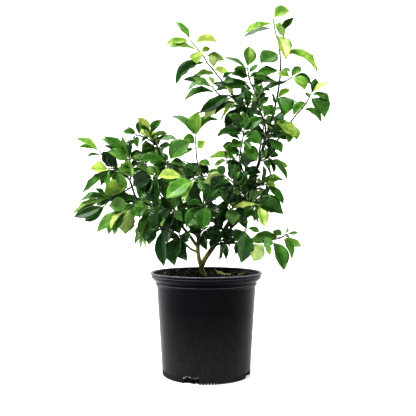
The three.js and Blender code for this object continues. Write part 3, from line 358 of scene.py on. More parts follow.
LOOSE_BITS = [  # shape, spacing, smallest and largest size against the shape, tilt, seed
    (crumb, "Crumb Spacing", (0.5, 0.4, 0.4), (2.3, 1.7, 1.3), 3.1, 1),
    (flake, "Flake Spacing", (0.5, 0.5, 0.6), (1.7, 1.5, 1.8), 0.5, 2),
]
for shape, spacing, smallest, largest, tilt, offset in LOOSE_BITS:
    seed = settle("Math", {0: given["Seed"], 1: offset}, operation="ADD")
    spots = settle("DistributePointsOnFaces", {
        "Mesh": settled, "Selection": open_top, "Distance Min": given[spacing], "Density Max": 4e5,
        "Seed": seed}, distribute_method="POISSON")
    size = settle("RandomValue", {0: smallest, 1: largest, "Seed": seed}, data_type="FLOAT_VECTOR")
    lie = settle("RandomValue", {
        0: (-tilt, -tilt, 0), 1: (tilt, tilt, math.tau), "Seed": seed}, data_type="FLOAT_VECTOR")
    bits = settle("InstanceOnPoints", {"Points": spots, "Instance": shape, "Rotation": lie, "Scale": size})
    shade = settle("RandomValue", {"Seed": seed}, data_type="FLOAT")
    bits = settle("StoreNamedAttribute", {
        "Geometry": bits, "Name": "paleness", "Value": shade}, data_type="FLOAT", domain="INSTANCE")
    bits = settle("RealizeInstances", {"Geometry": bits})
    crumbled = ragged(settle, 1 / CRUMBLE, CRUMBLE)
    loose.append(settle("SetPosition", {"Geometry": bits, "Offset": crumbled}))
joined = settle("JoinGeometry", {"Geometry": loose})

# Damp bark and peat: matt, almost black in the cracks, brown on the faces, each crumb its own shade
# and about one in ten a dry tan. The grain is 0.8 mm peat fibre.
damp_bark_mix, paint, spot = new_material("damp_composted_bark")
paleness = paint("Attribute", attribute_name="paleness").node.outputs["Fac"]
shade = paint("ValToRGB", {"Fac": paleness}, stops=[
    (0.0, "#0c0b09"), (1.0, "#8d8468"), (0.45, "#1c1a14"), (0.8, "#37342a"), (0.93, "#625a45")])
peat = paint("TexNoise", {"Vector": spot, "Scale": 1 / (0.8 * MM), "Detail": 4.0})
mottled = paint("MapRange", {"Value": peat, "To Min": 0.35, "To Max": 1.5})
coloured = paint("VectorMath", {0: shade, "Scale": mottled}, operation="SCALE")
rough = paint("Bump", {"Height": peat, "Strength": 0.7, "Distance": 0.6 * MM})
finish(damp_bark_mix, {"Base Color": coloured, "Normal": rough, "Roughness": 0.92, "IOR": 1.4})

end_in(settle, joined, damp_bark_mix)

potting_mix = made_with(filling, drawn_line("potting_mix", mix_body), MIX_SIZES)
outward_faces(potting_mix)
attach(potting_mix, "root")
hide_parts("soil")

# ---- The trunk and its limbs ----
# Young citrus wood, grown as one piece: khaki bark on the stem just over the soil, where it forks,
# turning dark green-brown up the limbs. It stands in the mix as deep as its old root ball.

EYE_DISTANCE, EYE_HEIGHT, FORWARD = 1440, 380, 1.7
COLLAR_LENGTH, BARK_GRAIN = 16 * MM, 5 * MM
# Each limb's diameters at both ends, and its route from root to end as (x, z, depth), x and z as they
# show from the front. All in millimetres.
LIMBS = [
    ((13, 4.6), [(-5, 168, 0), (-5, 229, 0), (-11, 250, 0), (-17, 272, 0), (-20, 292, 2), (-19, 315, 8),
        (-16, 345, 16), (-10, 380, 22), (3, 420, 15), (-2, 452, 5), (-12, 478, 0), (-22, 500, 0)]),
    ((12, 6.5), [(-12, 256, 0), (0, 278, -3), (14, 298, -6), (30, 322, -8), (48, 350, -5), (68, 380, 0),
        (84, 402, 5), (95, 420, 8), (104, 445, 10), (112, 462, 10), (119, 485, 8), (126, 503, 5),
        (132, 525, 3), (138, 548, 0), (143, 570, 0)]),
    ((8, 4.2), [(-19, 300, 4), (-30, 315, 8), (-45, 336, 14), (-57, 352, 20), (-60, 385, 28),
        (-62, 412, 30), (-74, 452, 25), (-86, 482, 15), (-95, 500, 10), (-103, 518, 5)]),
    ((6.5, 3.6), [(-57, 352, 20), (-80, 375, 10), (-110, 392, -5), (-150, 408, -15), (-168, 420, -20),
        (-176, 440, -20), (-185, 464, -15), (-205, 483, -10), (-228, 498, -5), (-246, 512, 0)]),
    ((6, 3.6), [(-20, 290, 1), (-38, 298, -15), (-60, 318, -35), (-82, 335, -50), (-100, 345, -60)]),
    ((5, 3.2), [(18, 304, -6), (38, 311, -20), (60, 311, -30), (90, 313, -35), (120, 314, -38),
        (150, 318, -35), (178, 323, -30)]),
    ((5, 4), [(134, 530, 2), (150, 538, -5), (165, 553, -12), (178, 566, -15)]),
    ((7, 3.6), [(-18, 322, 10), (-40, 350, 50), (-70, 385, 95), (-105, 420, 130), (-130, 450, 150)]),
    ((5.5, 3.4), [(-10, 380, 22), (-5, 420, 70), (5, 455, 115), (10, 480, 140)]),
    ((6, 3.4), [(64, 374, -1), (85, 385, 45), (105, 410, 90), (115, 440, 120)]),
    ((5, 3.2), [(126, 503, 5), (128, 535, 40), (135, 575, 75), (140, 610, 95)]),
]
WOOD_SIZES = {
    "Sides": 14,
    "Step": 3.0 * MM,
    "Collar": 1.22,  # how much a limb swells where it leaves another
    "Bark Relief": 0.5 * MM,
}


def seen_place(x, z, depth):
    """The point, in metres, that shows at x and z from the eye and lies at its depth."""
    spread = 1 + depth / EYE_DISTANCE
    return Vector((x * spread, depth, EYE_HEIGHT + (z - EYE_HEIGHT) * spread)) * MM


def route_points(route):
    """A route's points. Those in front of the pot's axis stand further forward than they are written."""
    return [seen_place(x, z, depth * FORWARD if depth < 0 else depth) for x, z, depth in route]


def lengths(points):
    """The length of a route up to each of its points."""
    reach = [0.0]
    for before, point in zip(points, points[1:]):
        reach.append(reach[-1] + (point - before).length)
    return reach


def lines_object(name, lines):
    """An object of separate lines. Each is a dict of points and of the values that they carry."""
    mesh = bpy.data.meshes.new(name)
    points, edges = [], []
    for line in lines:
        start = len(points)
        points += line["points"]
        edges += [(start + i, start + i + 1) for i in range(len(line["points"]) - 1)]
    mesh.from_pydata(points, edges, [])
    for label in lines[0]:
        values = [value for line in lines for value in line[label]]
        if label == "points":
            continue
        vectors = isinstance(values[0], Vector)
        carried = mesh.attributes.new(label, "FLOAT_VECTOR" if vectors else "FLOAT", "POINT")
        flat = [part for value in values for part in value] if vectors else values
        carried.data.foreach_set("vector" if vectors else "value", flat)
    return new_object(name, mesh)


def tapered(points, girth):
    """The radius at each point of a route that thins evenly from end to end."""
    reach = lengths(points)
    return [(girth[0] + (girth[1] - girth[0]) * at / reach[-1]) / 2 * MM for at in reach]


limbs = []
for girth, route in LIMBS:
    points = route_points(route)
    limbs.append({"points": points, "radius_here": tapered(points, girth)})

# Round wood: every line becomes a smooth tapered stem with closed ends.
wood, round_off, given = new_tree("round_wood", WOOD_SIZES)
lines = round_off("MeshToCurve", {"Mesh": given["Geometry"]})
bent = round_off("CurveSplineType", {"Curve": lines}, spline_type="CATMULL_ROM")
evenly = round_off("ResampleCurve", {"Curve": bent, "Length": given["Step"]}, mode="LENGTH")
radius = round_off("InputNamedAttribute", {"Name": "radius_here"}, data_type="FLOAT")
along = round_off("SplineParameter").node.outputs["Length"]
collar = round_off("MapRange", {"Value": along, "From Max": COLLAR_LENGTH, "To Min": given["Collar"],
    "To Max": 1.0}, interpolation_type="SMOOTHSTEP")
swollen = round_off("Math", {0: radius, 1: collar}, operation="MULTIPLY")
disc = round_off("CurvePrimitiveCircle", {"Resolution": given["Sides"], "Radius": 1.0})
stems = round_off("CurveToMesh", {
    "Curve": evenly, "Profile Curve": disc, "Scale": swollen, "Fill Caps": True})
round_off("NodeGroupOutput", {"Geometry": stems})

# The trunk's tree: the round wood grown together at the forks, with its bark.
growing, knit, given = new_tree("grown_together", WOOD_SIZES)
stems = knit("Group", {label: given[label] for label in ("Geometry", *WOOD_SIZES)}, node_tree=wood)
joined = knit("MeshBoolean", {"Mesh 2": stems, "Self Intersection": True}, operation="UNION",
    solver="EXACT")
bark = knit("TexNoise", {"Scale": 1 / BARK_GRAIN, "Detail": 3.0})
bark = knit("Math", {0: bark, 1: 0.5}, operation="SUBTRACT")
relief = knit("Math", {0: bark, 1: given["Bark Relief"]}, operation="MULTIPLY")
out = knit("InputNormal")
shift = knit("VectorMath", {0: out, "Scale": relief}, operation="SCALE")
barked = knit("SetPosition", {"Geometry": joined, "Offset": shift})
smooth = knit("SetShadeSmooth", {"Geometry": barked})

# Young citrus bark: matt khaki with fine pale lengthwise streaks low down, then dark green-brown, and
# green again at the leader's top, turning dark sooner right of the trunk's middle. Streaks are 1.2 mm
# apart.
citrus_bark, paint, spot = new_material("young_citrus_bark")
x_y_z = paint("SeparateXYZ", {0: spot}).node.outputs
# The tone runs with height and with the distance right of a line 6 mm left of the middle.
aside = paint("Math", {0: x_y_z["X"], 1: 6 * MM}, operation="ADD")
aside = paint("Math", {0: aside, 1: 0.0}, operation="MAXIMUM")
height_and_rightward = paint("Math", {0: aside, 1: 1.6, 2: x_y_z["Z"]}, operation="MULTIPLY_ADD")
shade = paint("ValToRGB", {"Fac": height_and_rightward}, stops=[
    (0.245, "#9c9a63"), (1.0, "#55742f"), (0.285, "#b9b07a"),
    (0.312, "#5a5a36"), (0.36, "#1d2216"), (0.72, "#1d2716")])
drawn_out = paint("Mapping", {"Vector": spot, "Scale": (1, 1, 0.12)})
streak = paint("TexNoise", {"Vector": drawn_out, "Scale": 1 / (1.2 * MM), "Detail": 4.0})
lightness = paint("MapRange", {"Value": streak, "From Min": 0.3, "From Max": 0.7, "To Min": 0.6,
    "To Max": 1.35})
coloured = paint("VectorMath", {0: shade, "Scale": lightness}, operation="SCALE")
rough = paint("Bump", {"Height": streak, "Strength": 0.5, "Distance": 0.3 * MM})
finish(citrus_bark, {"Base Color": coloured, "Normal": rough, "Roughness": 0.72})

end_in(knit, smooth, citrus_bark)

trunk = made_with(growing, lines_object("trunk_and_limbs", limbs), WOOD_SIZES)
outward_faces(trunk)
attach(trunk, "root")
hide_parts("trunk")

# ---- The leafy stems ----
# Green shoots of this year's and last year's growth, each a twig with its petioles and leaves, grown
# from the limbs. Lemon leaves are leathery and glossy, folded at the midrib, with a gently waved edge.

# Each twig has its diameters, its route and its leaves. A leaf is (share of the twig's length where it
# sits, tip x, tip z, depth of the tip past its root, width that shows from the front, its green from 0
# to 1, partly the leaf's age, young at 1, and partly painted shade, deep at 0, height of its arch as a
# share of its length if it isn't the usual one). A twig of the back has a number of leaves, which sit all
# round it by rule.
LEAFY_STEMS = {
    "leader": [
        ((6, 3), [(143, 570, 0), (148, 580, 0), (154, 600, 0), (162, 625, -2), (167, 650, -4),
            (173, 680, -5), (177, 715, -4), (177, 757, -2), (173, 790, 0), (166, 815, 2), (160, 848, 4)],
            [(1, 200, 867, -10, 22, 0.8, 0.24), (0.97, 187, 803, -14, 14, 0.75),
            (0.97, 88, 812, -15, 19, 0.75, 0.03), (0.92, 89, 804, 25, 12, 0.25),
            (0.95, 182, 829, -15, 9, 0.85), (0.84, 210, 854, 6, 13, 0.3, -0.06),
            (0.87, 191, 751, -20, 27, 0.9), (0.7, 268, 715, -6, 23, 0.75, 0.15),
            (0.7, 129, 742, -16, 36, 0.45, 0.02), (0.56, 202, 722, -8, 10, 0.5),
            (0.55, 118, 716, -12, 18, 0.5), (0.34, 184, 614, -22, 36, 0.4), (0.27, 156, 669, -8, 8, 0.3),
            (0.34, 223, 645, -8, 10, 0.5, -0.02), (0.33, 200, 680, 10, 14, 0.85, -0.06),
            (0.23, 137, 631, -12, 10, 0.8)]),
        ((3.4, 3), [(175, 693, -5), (190, 700, -12), (206, 708, -18)],
            [(1, 168, 716, -14, 13, 0.8), (0.9, 228, 733, 10, 15, 0.6), (1, 235, 677, -14, 27, 0.75, 0.18),
            (0.95, 252, 687, 12, 16, 0.25, 0.2)]),
    ],
    "side_leader": [
        ((4.6, 3), [(140, 556, 1), (142, 574, 10), (142, 586, 12), (139, 602, 13), (132, 620, 16),
            (126, 638, 18), (121, 662, 20), (112, 684, 20), (104, 702, 18), (98, 733, 16)],
            [(1, 103, 784, 0, 25, 0.7), (0.97, 41, 756, 6, 10, 0.3, 0.03), (0.85, 168, 697, 10, 15, 0.25),
            (0.88, 146, 703, -6, 18, 0.35), (0.86, 60, 716, -6, 22, 0.3), (0.75, 21, 676, -6, 26, 0.3)]),
        ((3.2, 3), [(121, 662, 20), (125, 669, 16), (129, 676, 12)],
            [(1, 196, 697, -4, 15, 0.4, 0.03), (1, 118, 692, -6, 7, 0.5)]),
    ],
    "feather": [
        ((4.8, 3), [(139, 552, 0), (136, 575, -10), (122, 597, -14), (98, 626, -18), (78, 652, -20),
            (62, 668, -22), (45, 690, -24), (28, 712, -26), (18, 725, -27), (3, 742, -28), (-6, 758, -28),
            (-20, 775, -28), (-38, 797, -28)],
            [(1, -76, 843, 0, 14, 0.6, 0.14), (0.99, -98, 787, -8, 15, 0.85, 0.05),
            (0.9, -95, 780, -18, 13, 0.7, 0.05), (0.97, 28, 790, -5, 20, 0.95, 0.1),
            (0.87, 10, 777, 4, 12, 0.95), (0.9, -22, 740, -14, 24, 0.85),
            (0.79, -74, 690, -8, 22, 0.2, 0.22), (0.84, 43, 748, 12, 14, 0.75, 0.12),
            (0.8, 42, 742, -6, 6, 0.8), (0.72, 12, 763, -14, -15, 0.85), (0.72, 52, 721, -4, 14, 0.9),
            (0.6, 66, 698, -6, 17, 0.35), (0.67, -32, 710, 20, 13, 0.7, 0.08), (0.62, 70, 720, 8, 11, 0.3),
            (0.54, 17, 693, 12, 14, 0.2), (0.5, -19, 622, -18, 25, 0.25, -0.08),
            (0.46, -8, 603, -10, -18, 0.75, 0.1), (0.45, 43, 687, -16, 8, 0.85),
            (0.4, 20, 619, -24, 10, 0.3), (0.42, 35, 605, -22, 9, 0.85), (0.33, 54, 662, 4, 18, 0.15),
            (0.3, 84, 692, 6, 15, 0.2), (0.38, 92, 692, 14, 15, 0.45), (0.27, 122, 652, 12, 13, 0.25),
            (0.24, 62, 640, 10, 14, 0.2), (0.36, 47, 580, 8, 26, 0.12), (0.42, 88, 660, -10, 20, 0.15)]),
        ((3.4, 3), [(62, 668, -22), (45, 662, -34), (30, 668, -42), (21, 678, -46), (13, 688, -48)],
            [(1, -33, 708, -2, 14, 0.6, 0), (1, -56, 703, 8, 13, 0.25, 0.02),
            (0.97, -47, 677, -8, 14, 0.35, 0.2), (0.9, 4, 712, -8, 7, 0.9),
            (0.72, -54, 651, -10, 16, 0.5, 0.12)]),
    ],
    "hub": [
        ((4.2, 3), [(104, 445, 10), (96, 464, -10), (86, 490, -22), (80, 515, -28), (84, 542, -34),
            (88, 566, -36), (90, 580, -36)],
            [(0.98, 24, 566, 6, 13, 0.3, 0.14), (1, 49, 621, -8, 21, 0.3), (1, 97, 623, -12, 13, 0.5),
            (0.97, 104, 638, 8, 18, 0.2), (0.95, 38, 573, -4, 17, 0.3), (0.86, 60, 541, -16, 20, 0.6, 0.02),
            (0.84, 107, 536, -14, 13, 0.5), (0.72, 44, 521, -14, 27, 0.5), (0.55, 4, 514, -10, 11, 0.8),
            (0.5, 45, 502, -20, 8, 0.5), (0.42, 51, 499, -8, 15, 0.3), (0.36, 106, 489, -10, 13, 0.4),
            (0.2, 51, 478, -18, 18, 0.35), (0.98, 131, 548, -10, 24, 0.45), (0.8, 122, 507, -8, 24, 0.5),
            (0.7, 92, 490, 8, 22, 0.25), (1, 135, 610, 6, 22, 0.3), (0.96, 44, 598, 4, 24, 0.12),
            (0.3, 132, 478, -6, 18, 0.3), (0.5, 124, 524, 12, 22, 0.2)]),
        ((3.2, 3), [(81, 505, -26), (62, 508, -42), (46, 508, -50)],
            [(1, 30, 508, -4, 7, 0.55), (1, 17, 495, -8, 8, 0.55)]),
    ],
    "centre_right": [
        ((4, 3), [(95, 420, 8), (80, 440, -22), (66, 455, -44), (52, 466, -54), (42, 474, -58)],
            [(1, 26, 495, -4, 14, 0.3), (1, 3, 481, 10, 14, 0.6), (0.86, -9, 455, -16, -25, 0.85),
            (0.55, 62, 474, -10, 16, 0.5), (0.8, 60, 496, -4, 16, 0.35), (1, 12, 434, 4, 20, 0.12),
            (0.3, 64, 432, -22, 17, 0.7), (0.4, 100, 438, -16, 14, 0.4), (0.55, 4, 404, -6, 18, 0.35),
            (0.75, 80, 498, 6, 18, 0.2), (0.6, 18, 438, 10, 22, 0.15), (0.2, 122, 466, 8, 18, 0.2)]),
    ],
    "right_shade": [
        ((4, 3), [(136, 540, 1), (148, 560, -18), (158, 580, -28), (164, 600, -33), (168, 616, -35)],
            [(1, 186, 606, -8, 16, 0.2), (0.95, 126, 637, 4, 15, 0.5), (0.8, 199, 597, -16, 11, 0.7),
            (0.7, 192, 627, 8, 14, 0.3), (0.5, 177, 566, -8, 10, 0.35), (0.35, 182, 527, -14, 21, 0.4),
            (0.3, 158, 524, -10, 20, 0.2), (0.9, 221, 567, -8, 24, 0.85, -0.02),
            (0.6, 146, 592, -4, 17, 0.2), (0.55, 190, 590, -10, 15, 0.5), (0.45, 208, 564, 10, 20, 0.5)]),
    ],
    "right_arm": [
        ((4.4, 3), [(174, 562, -14), (190, 584, -18), (200, 598, -20), (215, 618, -22), (235, 640, -24),
            (246, 658, -24), (251, 672, -24)],
            [(1, 262, 706, 5, 19, 0.3), (1, 293, 698, -5, 11, 0.95), (0.97, 297, 648, -6, 14, 0.5, 0.12),
            (0.93, 284, 612, -16, 34, 0.5, 0.02), (0.9, 237, 671, 8, 8, 0.3),
            (0.82, 208, 617, -8, 18, 0.6, 0.16), (0.66, 276, 600, -8, 15, 0.5, 0.16),
            (0.3, 216, 558, -14, 22, 0.9), (0.2, 198, 552, -18, 18, 0.65)]),
    ],
    "right_fork": [
        ((3.8, 3), [(127, 507, 5), (140, 512, -8), (152, 516, -16)],
            [(1, 199, 491, -6, 15, 0.7, -0.05), (0.95, 195, 461, -14, 14, 0.35), (1, 174, 523, 6, 13, 0.3),
            (0.8, 158, 502, -10, 7, 0.3), (0.35, 150, 491, -10, 16, 0.5, 0.16),
            (0.5, 158, 536, 8, 18, 0.3)]),
    ],
    "right_waist": [
        ((3.8, 3), [(110, 457, 10), (120, 452, -6), (134, 454, -14), (144, 452, -18)],
            [(0.6, 184, 463, 6, 16, 0.65, 0.1), (0.85, 167, 445, -10, 13, 0.8), (1, 185, 401, -12, 17, 0.4),
            (0.5, 129, 468, -6, 7, 0.9), (0.35, 106, 431, -14, 12, 0.75)]),
    ],
    "right_broad": [
        ((4, 3), [(91, 413, 7), (104, 412, -14), (118, 405, -30), (132, 402, -40)],
            [(0.45, 185, 381, -10, 35, 0.4), (0.88, 139, 349, -14, 20, 0.95, 0),
            (0.93, 61, 395, -14, 9, 0.95), (0.5, 106, 384, -4, 9, 0.2), (0.35, 52, 411, -14, 12, 0.25),
            (0.2, 132, 432, 6, 20, 0.15)]),
    ],
    "core_right": [
        ((4, 3), [(62, 371, -1), (60, 386, -24), (56, 398, -42)],
            [(1, 63, 354, -16, 27, 0.6), (0.9, 96, 343, -10, 18, 0.25, 0.1), (0.7, 58, 343, -22, 22, 0.1),
            (0.8, 26, 352, -10, 20, 0.1), (1, 30, 404, -4, 14, 0.2), (0.95, 26, 446, -4, 16, 0.3),
            (1, 70, 432, 6, 20, 0.12), (0.9, 22, 378, 10, 22, 0.1), (0.7, 88, 420, 6, 20, 0.15)]),
    ],
    "low_centre": [
        ((3.8, 3), [(26, 316, -8), (36, 330, -28), (38, 342, -44)],
            [(1, 58, 317, -12, 22, 0.1), (0.9, 12, 320, -10, 21, 0.1), (0.7, 67, 341, 6, 9, 0.6),
            (0.3, 30, 270, -8, 8, 0.15), (0.25, 48, 270, -12, 9, 0.15, -0.04), (0.2, 9, 299, -6, 16, 0.12),
            (1, 20, 372, 4, 16, 0.1)]),
    ],
    "low_right": [
        ((3.6, 3), [(75, 312, -32), (84, 326, -46), (93, 341, -56), (97, 348, -60)],
            [(1, 82, 262, -14, 34, 0.3), (0.85, 68, 316, 6, 24, 0.08), (1, 128, 337, 4, 10, 0.45),
            (0.2, 69, 284, -6, 16, 0.1)]),
    ],
    "low_right_hanging": [
        ((3.4, 3), [(135, 316, -36), (138, 312, -46), (141, 309, -56)],
            [(1, 115, 268, -10, -34, 0.7, 0.12), (0.9, 153, 282, -2, 12, 0.75),
            (0.7, 102, 318, -8, 13, 0.6)]),
    ],
    "low_right_end": [
        ((3.4, 3), [(152, 318, -35), (157, 321, -44), (160, 322, -52)],
            [(0.25, 186, 245, -12, 25, 0.45, 0.08), (0.9, 138, 302, -4, 16, 0.55)]),
    ],
    "low_right_tip": [
        ((3.2, 3), [(172, 322, -31), (182, 326, -30), (192, 333, -30)],
            [(0.3, 110, 323, -12, 19, 0.45), (0.4, 205, 273, -10, 15, 0.5, 0.12),
            (0.6, 231, 303, 2, 15, 0.7, -0.08), (0.6, 158, 341, 8, 13, 0.6, 0), (0.8, 199, 324, -8, 6, 0.3),
            (1, 226, 334, 2, 7, 0.5), (1, 194, 349, -4, 6, 0.75)]),
    ],
    "upright": [
        ((4, 3), [(-20, 496, 0), (-23, 516, -3), (-25, 542, -5), (-26, 566, -6)],
            [(1, -19, 628, -8, 30, 0.75), (0.98, -88, 616, 2, 15, 0.5, 0.2),
            (0.76, -57, 558, -12, 20, 0.65, 0.22), (0.97, 34, 604, 8, 18, 0.5, 0.28),
            (0.6, -2, 557, -8, 16, 0.75, -0.06), (0.6, -58, 521, 6, 8, 0.35), (0.1, 10, 496, -14, 15, 0.7),
            (0.08, -33, 470, -16, 16, 0.1), (0.09, -34, 488, -8, 16, 0.08), (0.1, 6, 478, -4, 16, 0.08)]),
        ((3.2, 3), [(-22, 502, -1), (-40, 503, 8), (-56, 508, 14)],
            [(1, -52, 486, -6, 9, 0.2)]),
    ],
    "left_top": [
        ((4.2, 3), [(-101, 512, 6), (-112, 532, 0), (-119, 545, -4), (-128, 560, -8), (-136, 577, -10)],
            [(1, -107, 606, -6, 17, 0.4), (1, -165, 612, -10, 21, 1), (0.95, -161, 589, -18, 6, 0.5),
            (0.75, -160, 588, 4, 18, 1), (0.85, -92, 572, 8, 11, 0.85), (0.72, -67, 559, -6, 14, 0.4),
            (0.4, -132, 589, 8, 15, 0.8), (0.45, -156, 523, -14, 25, 0.6, 0.02),
            (0.5, -97, 508, -8, 11, 0.3), (0.42, -84, 546, -8, 12, 0.6), (0.5, -132, 500, 8, 20, 0.3)]),
        ((3.2, 3), [(-119, 545, -4), (-140, 561, -12), (-158, 568, -16), (-171, 572, -18)],
            [(1, -201, 580, 4, 12, 0.5, 0), (0.97, -190, 589, -6, 7, 0.45),
            (0.93, -162, 539, -8, 12, 0.5)]),
    ],
    "left_waist": [
        ((4, 3), [(-93, 496, 11), (-94, 503, -6), (-90, 507, -22)],
            [(1, -38, 553, -6, 34, 0.55), (0.9, -166, 508, -8, 15, 0.5), (0.8, -128, 486, -6, 15, 0.5),
            (0.95, -68, 474, -14, 15, 0.15), (0.9, -52, 499, -6, 14, 0.35),
            (0.6, -136, 504, -12, 18, 0.5, 0)]),
    ],
    "left_inner": [
        ((4, 3), [(-76, 457, 24), (-95, 466, -8), (-112, 472, -30), (-126, 470, -46)],
            [(0.92, -59, 470, -14, 19, 0.95), (0.8, -74, 452, 2, 15, 0.35), (1, -152, 489, 2, 11, 0.55),
            (1, -158, 414, -16, 29, 0.3), (0.97, -120, 401, -24, 25, 0.15), (0.7, -74, 402, -6, 22, 0.3),
            (0.5, -146, 497, 8, 8, 0.6), (0.97, -176, 448, -6, 32, 0.12)]),
    ],
    "left_front": [
        ((4, 3), [(-9, 470, 1), (-16, 470, -26), (-26, 464, -50)],
            [(1, -97, 418, -14, 33, 0.65), (1, -52, 408, -26, 14, 0.8), (0.9, -60, 467, 10, 10, 0.3),
            (0.8, -28, 404, 6, 20, 0.1), (0.15, -4, 432, -8, 18, 0.08)]),
    ],
    "low_front": [
        ((4, 3), [(-12, 368, 20), (-8, 384, -20), (-4, 396, -50), (-1, 402, -66)],
            [(0.95, -49, 350, -14, 33, 0.35, 0), (1, -9, 342, -20, 30, 0.45), (0.97, 14, 452, 4, 18, 0.25),
            (0.75, -72, 396, 2, 10, 0.35), (0.7, -40, 414, 6, 14, 0.2), (0.85, 28, 371, -4, 15, 0.2),
            (0.9, 16, 408, 8, 18, 0.15), (0.6, -34, 438, 10, 22, 0.15)]),
    ],
    "low_stub": [
        ((3.6, 3), [(-18, 327, 11), (-11, 340, -6), (-1, 348, -18), (13, 351, -24)],
            [(0.35, 3, 294, -10, 18, 0.2), (1, 41, 345, 4, 12, 0.1), (0.9, 28, 330, -8, 13, 0.1),
            (0.6, 5, 320, 6, 18, 0.08), (0.5, -44, 338, -8, 16, 0.1)]),
    ],
    "low_left": [
        ((3.8, 3), [(-58, 316, -33), (-62, 327, -44), (-64, 333, -54)],
            [(1, -46, 267, -10, 26, 0.15), (1, -76, 256, -14, 35, 0.15), (0.9, -42, 316, 6, 18, 0.15)]),
    ],
    "low_left_end": [
        ((3.8, 3), [(-96, 343, -58), (-108, 350, -66), (-120, 350, -70)],
            [(0.5, -101, 254, -10, 22, 0.1, 0), (1, -138, 307, -4, 20, 0.15), (0.8, -86, 394, 6, 26, 0.1),
            (0.9, -128, 396, 4, 22, 0.1)]),
    ],
    "left_shade": [
        ((4, 3), [(-84, 377, 8), (-80, 386, -18), (-74, 390, -38)],
            [(1, -64, 334, -8, 28, 0.1), (0.9, -106, 331, -10, 28, 0.1), (1, -45, 386, -4, 12, 0.35),
            (0.7, -110, 420, -6, 18, 0.15), (0.9, -70, 433, 2, 16, 0.35), (0.6, -40, 350, 6, 24, 0.08),
            (0.9, -94, 310, 6, 26, 0.08)]),
    ],
    "left_hanging": [
        ((4, 3), [(-130, 400, -10), (-132, 399, -34), (-131, 393, -52)],
            [(1, -146, 316, -12, 29, 0.4), (0.9, -145, 300, 4, 13, 0.75), (0.85, -157, 294, -4, 14, 0.6),
            (0.95, -172, 308, -14, 11, 0.5, -0.12), (0.6, -109, 378, -8, 12, 0.85),
            (0.5, -177, 372, -6, 20, 0.55, 0.1), (0.8, -122, 332, 4, 28, 0.15)]),
    ],
    "left_fringe": [
        ((4, 3), [(-164, 417, -19), (-174, 404, -42), (-184, 394, -58), (-194, 390, -66)],
            [(0.7, -193, 332, -12, -33, 0.7), (0.97, -263, 337, -6, 23, 0.6),
            (0.95, -236, 331, 0, 17, 0.55), (1, -229, 343, -16, 8, 1), (0.9, -224, 327, -6, 14, 0.45),
            (0.85, -234, 401, -12, 26, 0.6), (0.4, -150, 395, -16, 18, 0.55), (0.05, -198, 409, 4, 16, 0.3),
            (0.15, -250, 413, 6, 24, 0.35), (0.3, -196, 372, 4, 20, 0.4)]),
    ],
    "left_low_far": [
        ((4, 3), [(-178, 446, -19), (-198, 434, -32), (-220, 424, -38), (-242, 418, -42)],
            [(1, -321, 380, 8, 9, 0.75, 0.02), (0.95, -316, 376, -4, 14, 0.6, 0.02),
            (0.9, -304, 411, 12, 13, 0.6), (0.95, -268, 444, -6, 8, 0.55), (0.97, -271, 405, -14, 9, 0.45),
            (0.08, -245, 424, -14, 32, 0.85, 0.1), (0.35, -249, 419, 10, 8, 0.3),
            (0.2, -212, 484, -10, 20, 0.6), (0.8, -263, 402, -8, 20, 0.4)]),
        ((3.4, 3), [(-220, 424, -38), (-236, 410, -46), (-244, 400, -50)],
            [(1, -318, 374, -4, 20, 0.25, -0.04), (0.85, -293, 364, 8, 22, 0.3, -0.05)]),
    ],
    "left_far": [
        ((4, 3), [(-200, 478, -11), (-208, 486, -26), (-222, 490, -38), (-234, 490, -44)],
            [(0.7, -252, 448, -12, 17, 0.35, 0.06), (1, -297, 430, -4, 17, 0.4, 0.03),
            (0.95, -279, 488, -6, 24, 0.9, -0.03), (0.3, -222, 458, 6, 18, 0.3),
            (0.5, -236, 518, -16, 15, 0.95), (0.75, -249, 531, 4, 25, 0.05)]),
    ],
    "left_crown": [
        ((4, 3), [(-183, 459, -16), (-180, 482, -32), (-182, 500, -40), (-184, 516, -44)],
            [(1, -246, 567, -4, 19, 0.5), (1, -253, 562, 8, 11, 0.55), (0.97, -201, 571, -12, 8, 0.65),
            (0.92, -254, 547, -12, 13, 0.35), (0.9, -238, 531, -20, 20, 0.6), (1, -186, 560, 8, 20, 0.15),
            (0.97, -157, 514, -8, 9, 0.75), (0.93, -152, 527, 8, 17, 0.3), (0.7, -164, 505, 8, 10, 0.25),
            (0.15, -188, 512, -18, 30, 0.7), (0.3, -154, 464, -8, 16, 0.5)]),
    ],
    "left_tip": [
        ((3.6, 3), [(-240, 508, -1), (-248, 520, -2), (-256, 534, -4)],
            [(1, -315, 562, -4, 14, 0.75), (0.97, -307, 541, 6, 8, 0.6), (0.6, -289, 519, -4, 8, 0.4)]),
    ],
    "back_left": [
        ((3.8, 3), [(-105, 420, 130), (-120, 405, 150), (-145, 395, 165), (-172, 398, 170)], 6),
    ],
    "back_left_top": [
        ((3.6, 3), [(-125, 444, 147), (-140, 470, 160), (-152, 495, 160), (-160, 520, 150)], 6),
    ],
    "back_centre": [
        ((3.6, 3), [(8, 472, 133), (-10, 470, 152), (-36, 462, 160), (-62, 452, 160)], 6),
    ],
    "back_right": [
        ((3.6, 3), [(112, 433, 113), (108, 445, 135), (95, 440, 155), (80, 425, 165)], 6),
    ],
    "back_top": [
        ((3.4, 3), [(138, 600, 91), (130, 622, 100), (112, 638, 106), (90, 646, 110)], 6),
    ],
}
# Half width of a blade, as a share of its widest, at each share of its length.
BLADE_OUTLINE = [
    (0.0, 0.07), (0.08, 0.34), (0.19, 0.66), (0.33, 0.9), (0.47, 1.0), (0.62, 0.93), (0.76, 0.68),
    (0.89, 0.31), (1.0, 0.0)]
# A blade's width against what shows of it, the degrees that it leans from the front, its least width as
# a share of its length, how far its face turns outwards, its usual arch, and how far that leans out.
LEAF_FULLNESS, LEAF_LEAN, LEAF_SLIM, LEAF_OUTWARD, USUAL_BOW, LEAF_SAG = 1.26, 25, 0.36, 0.6, 0.06, 0.3
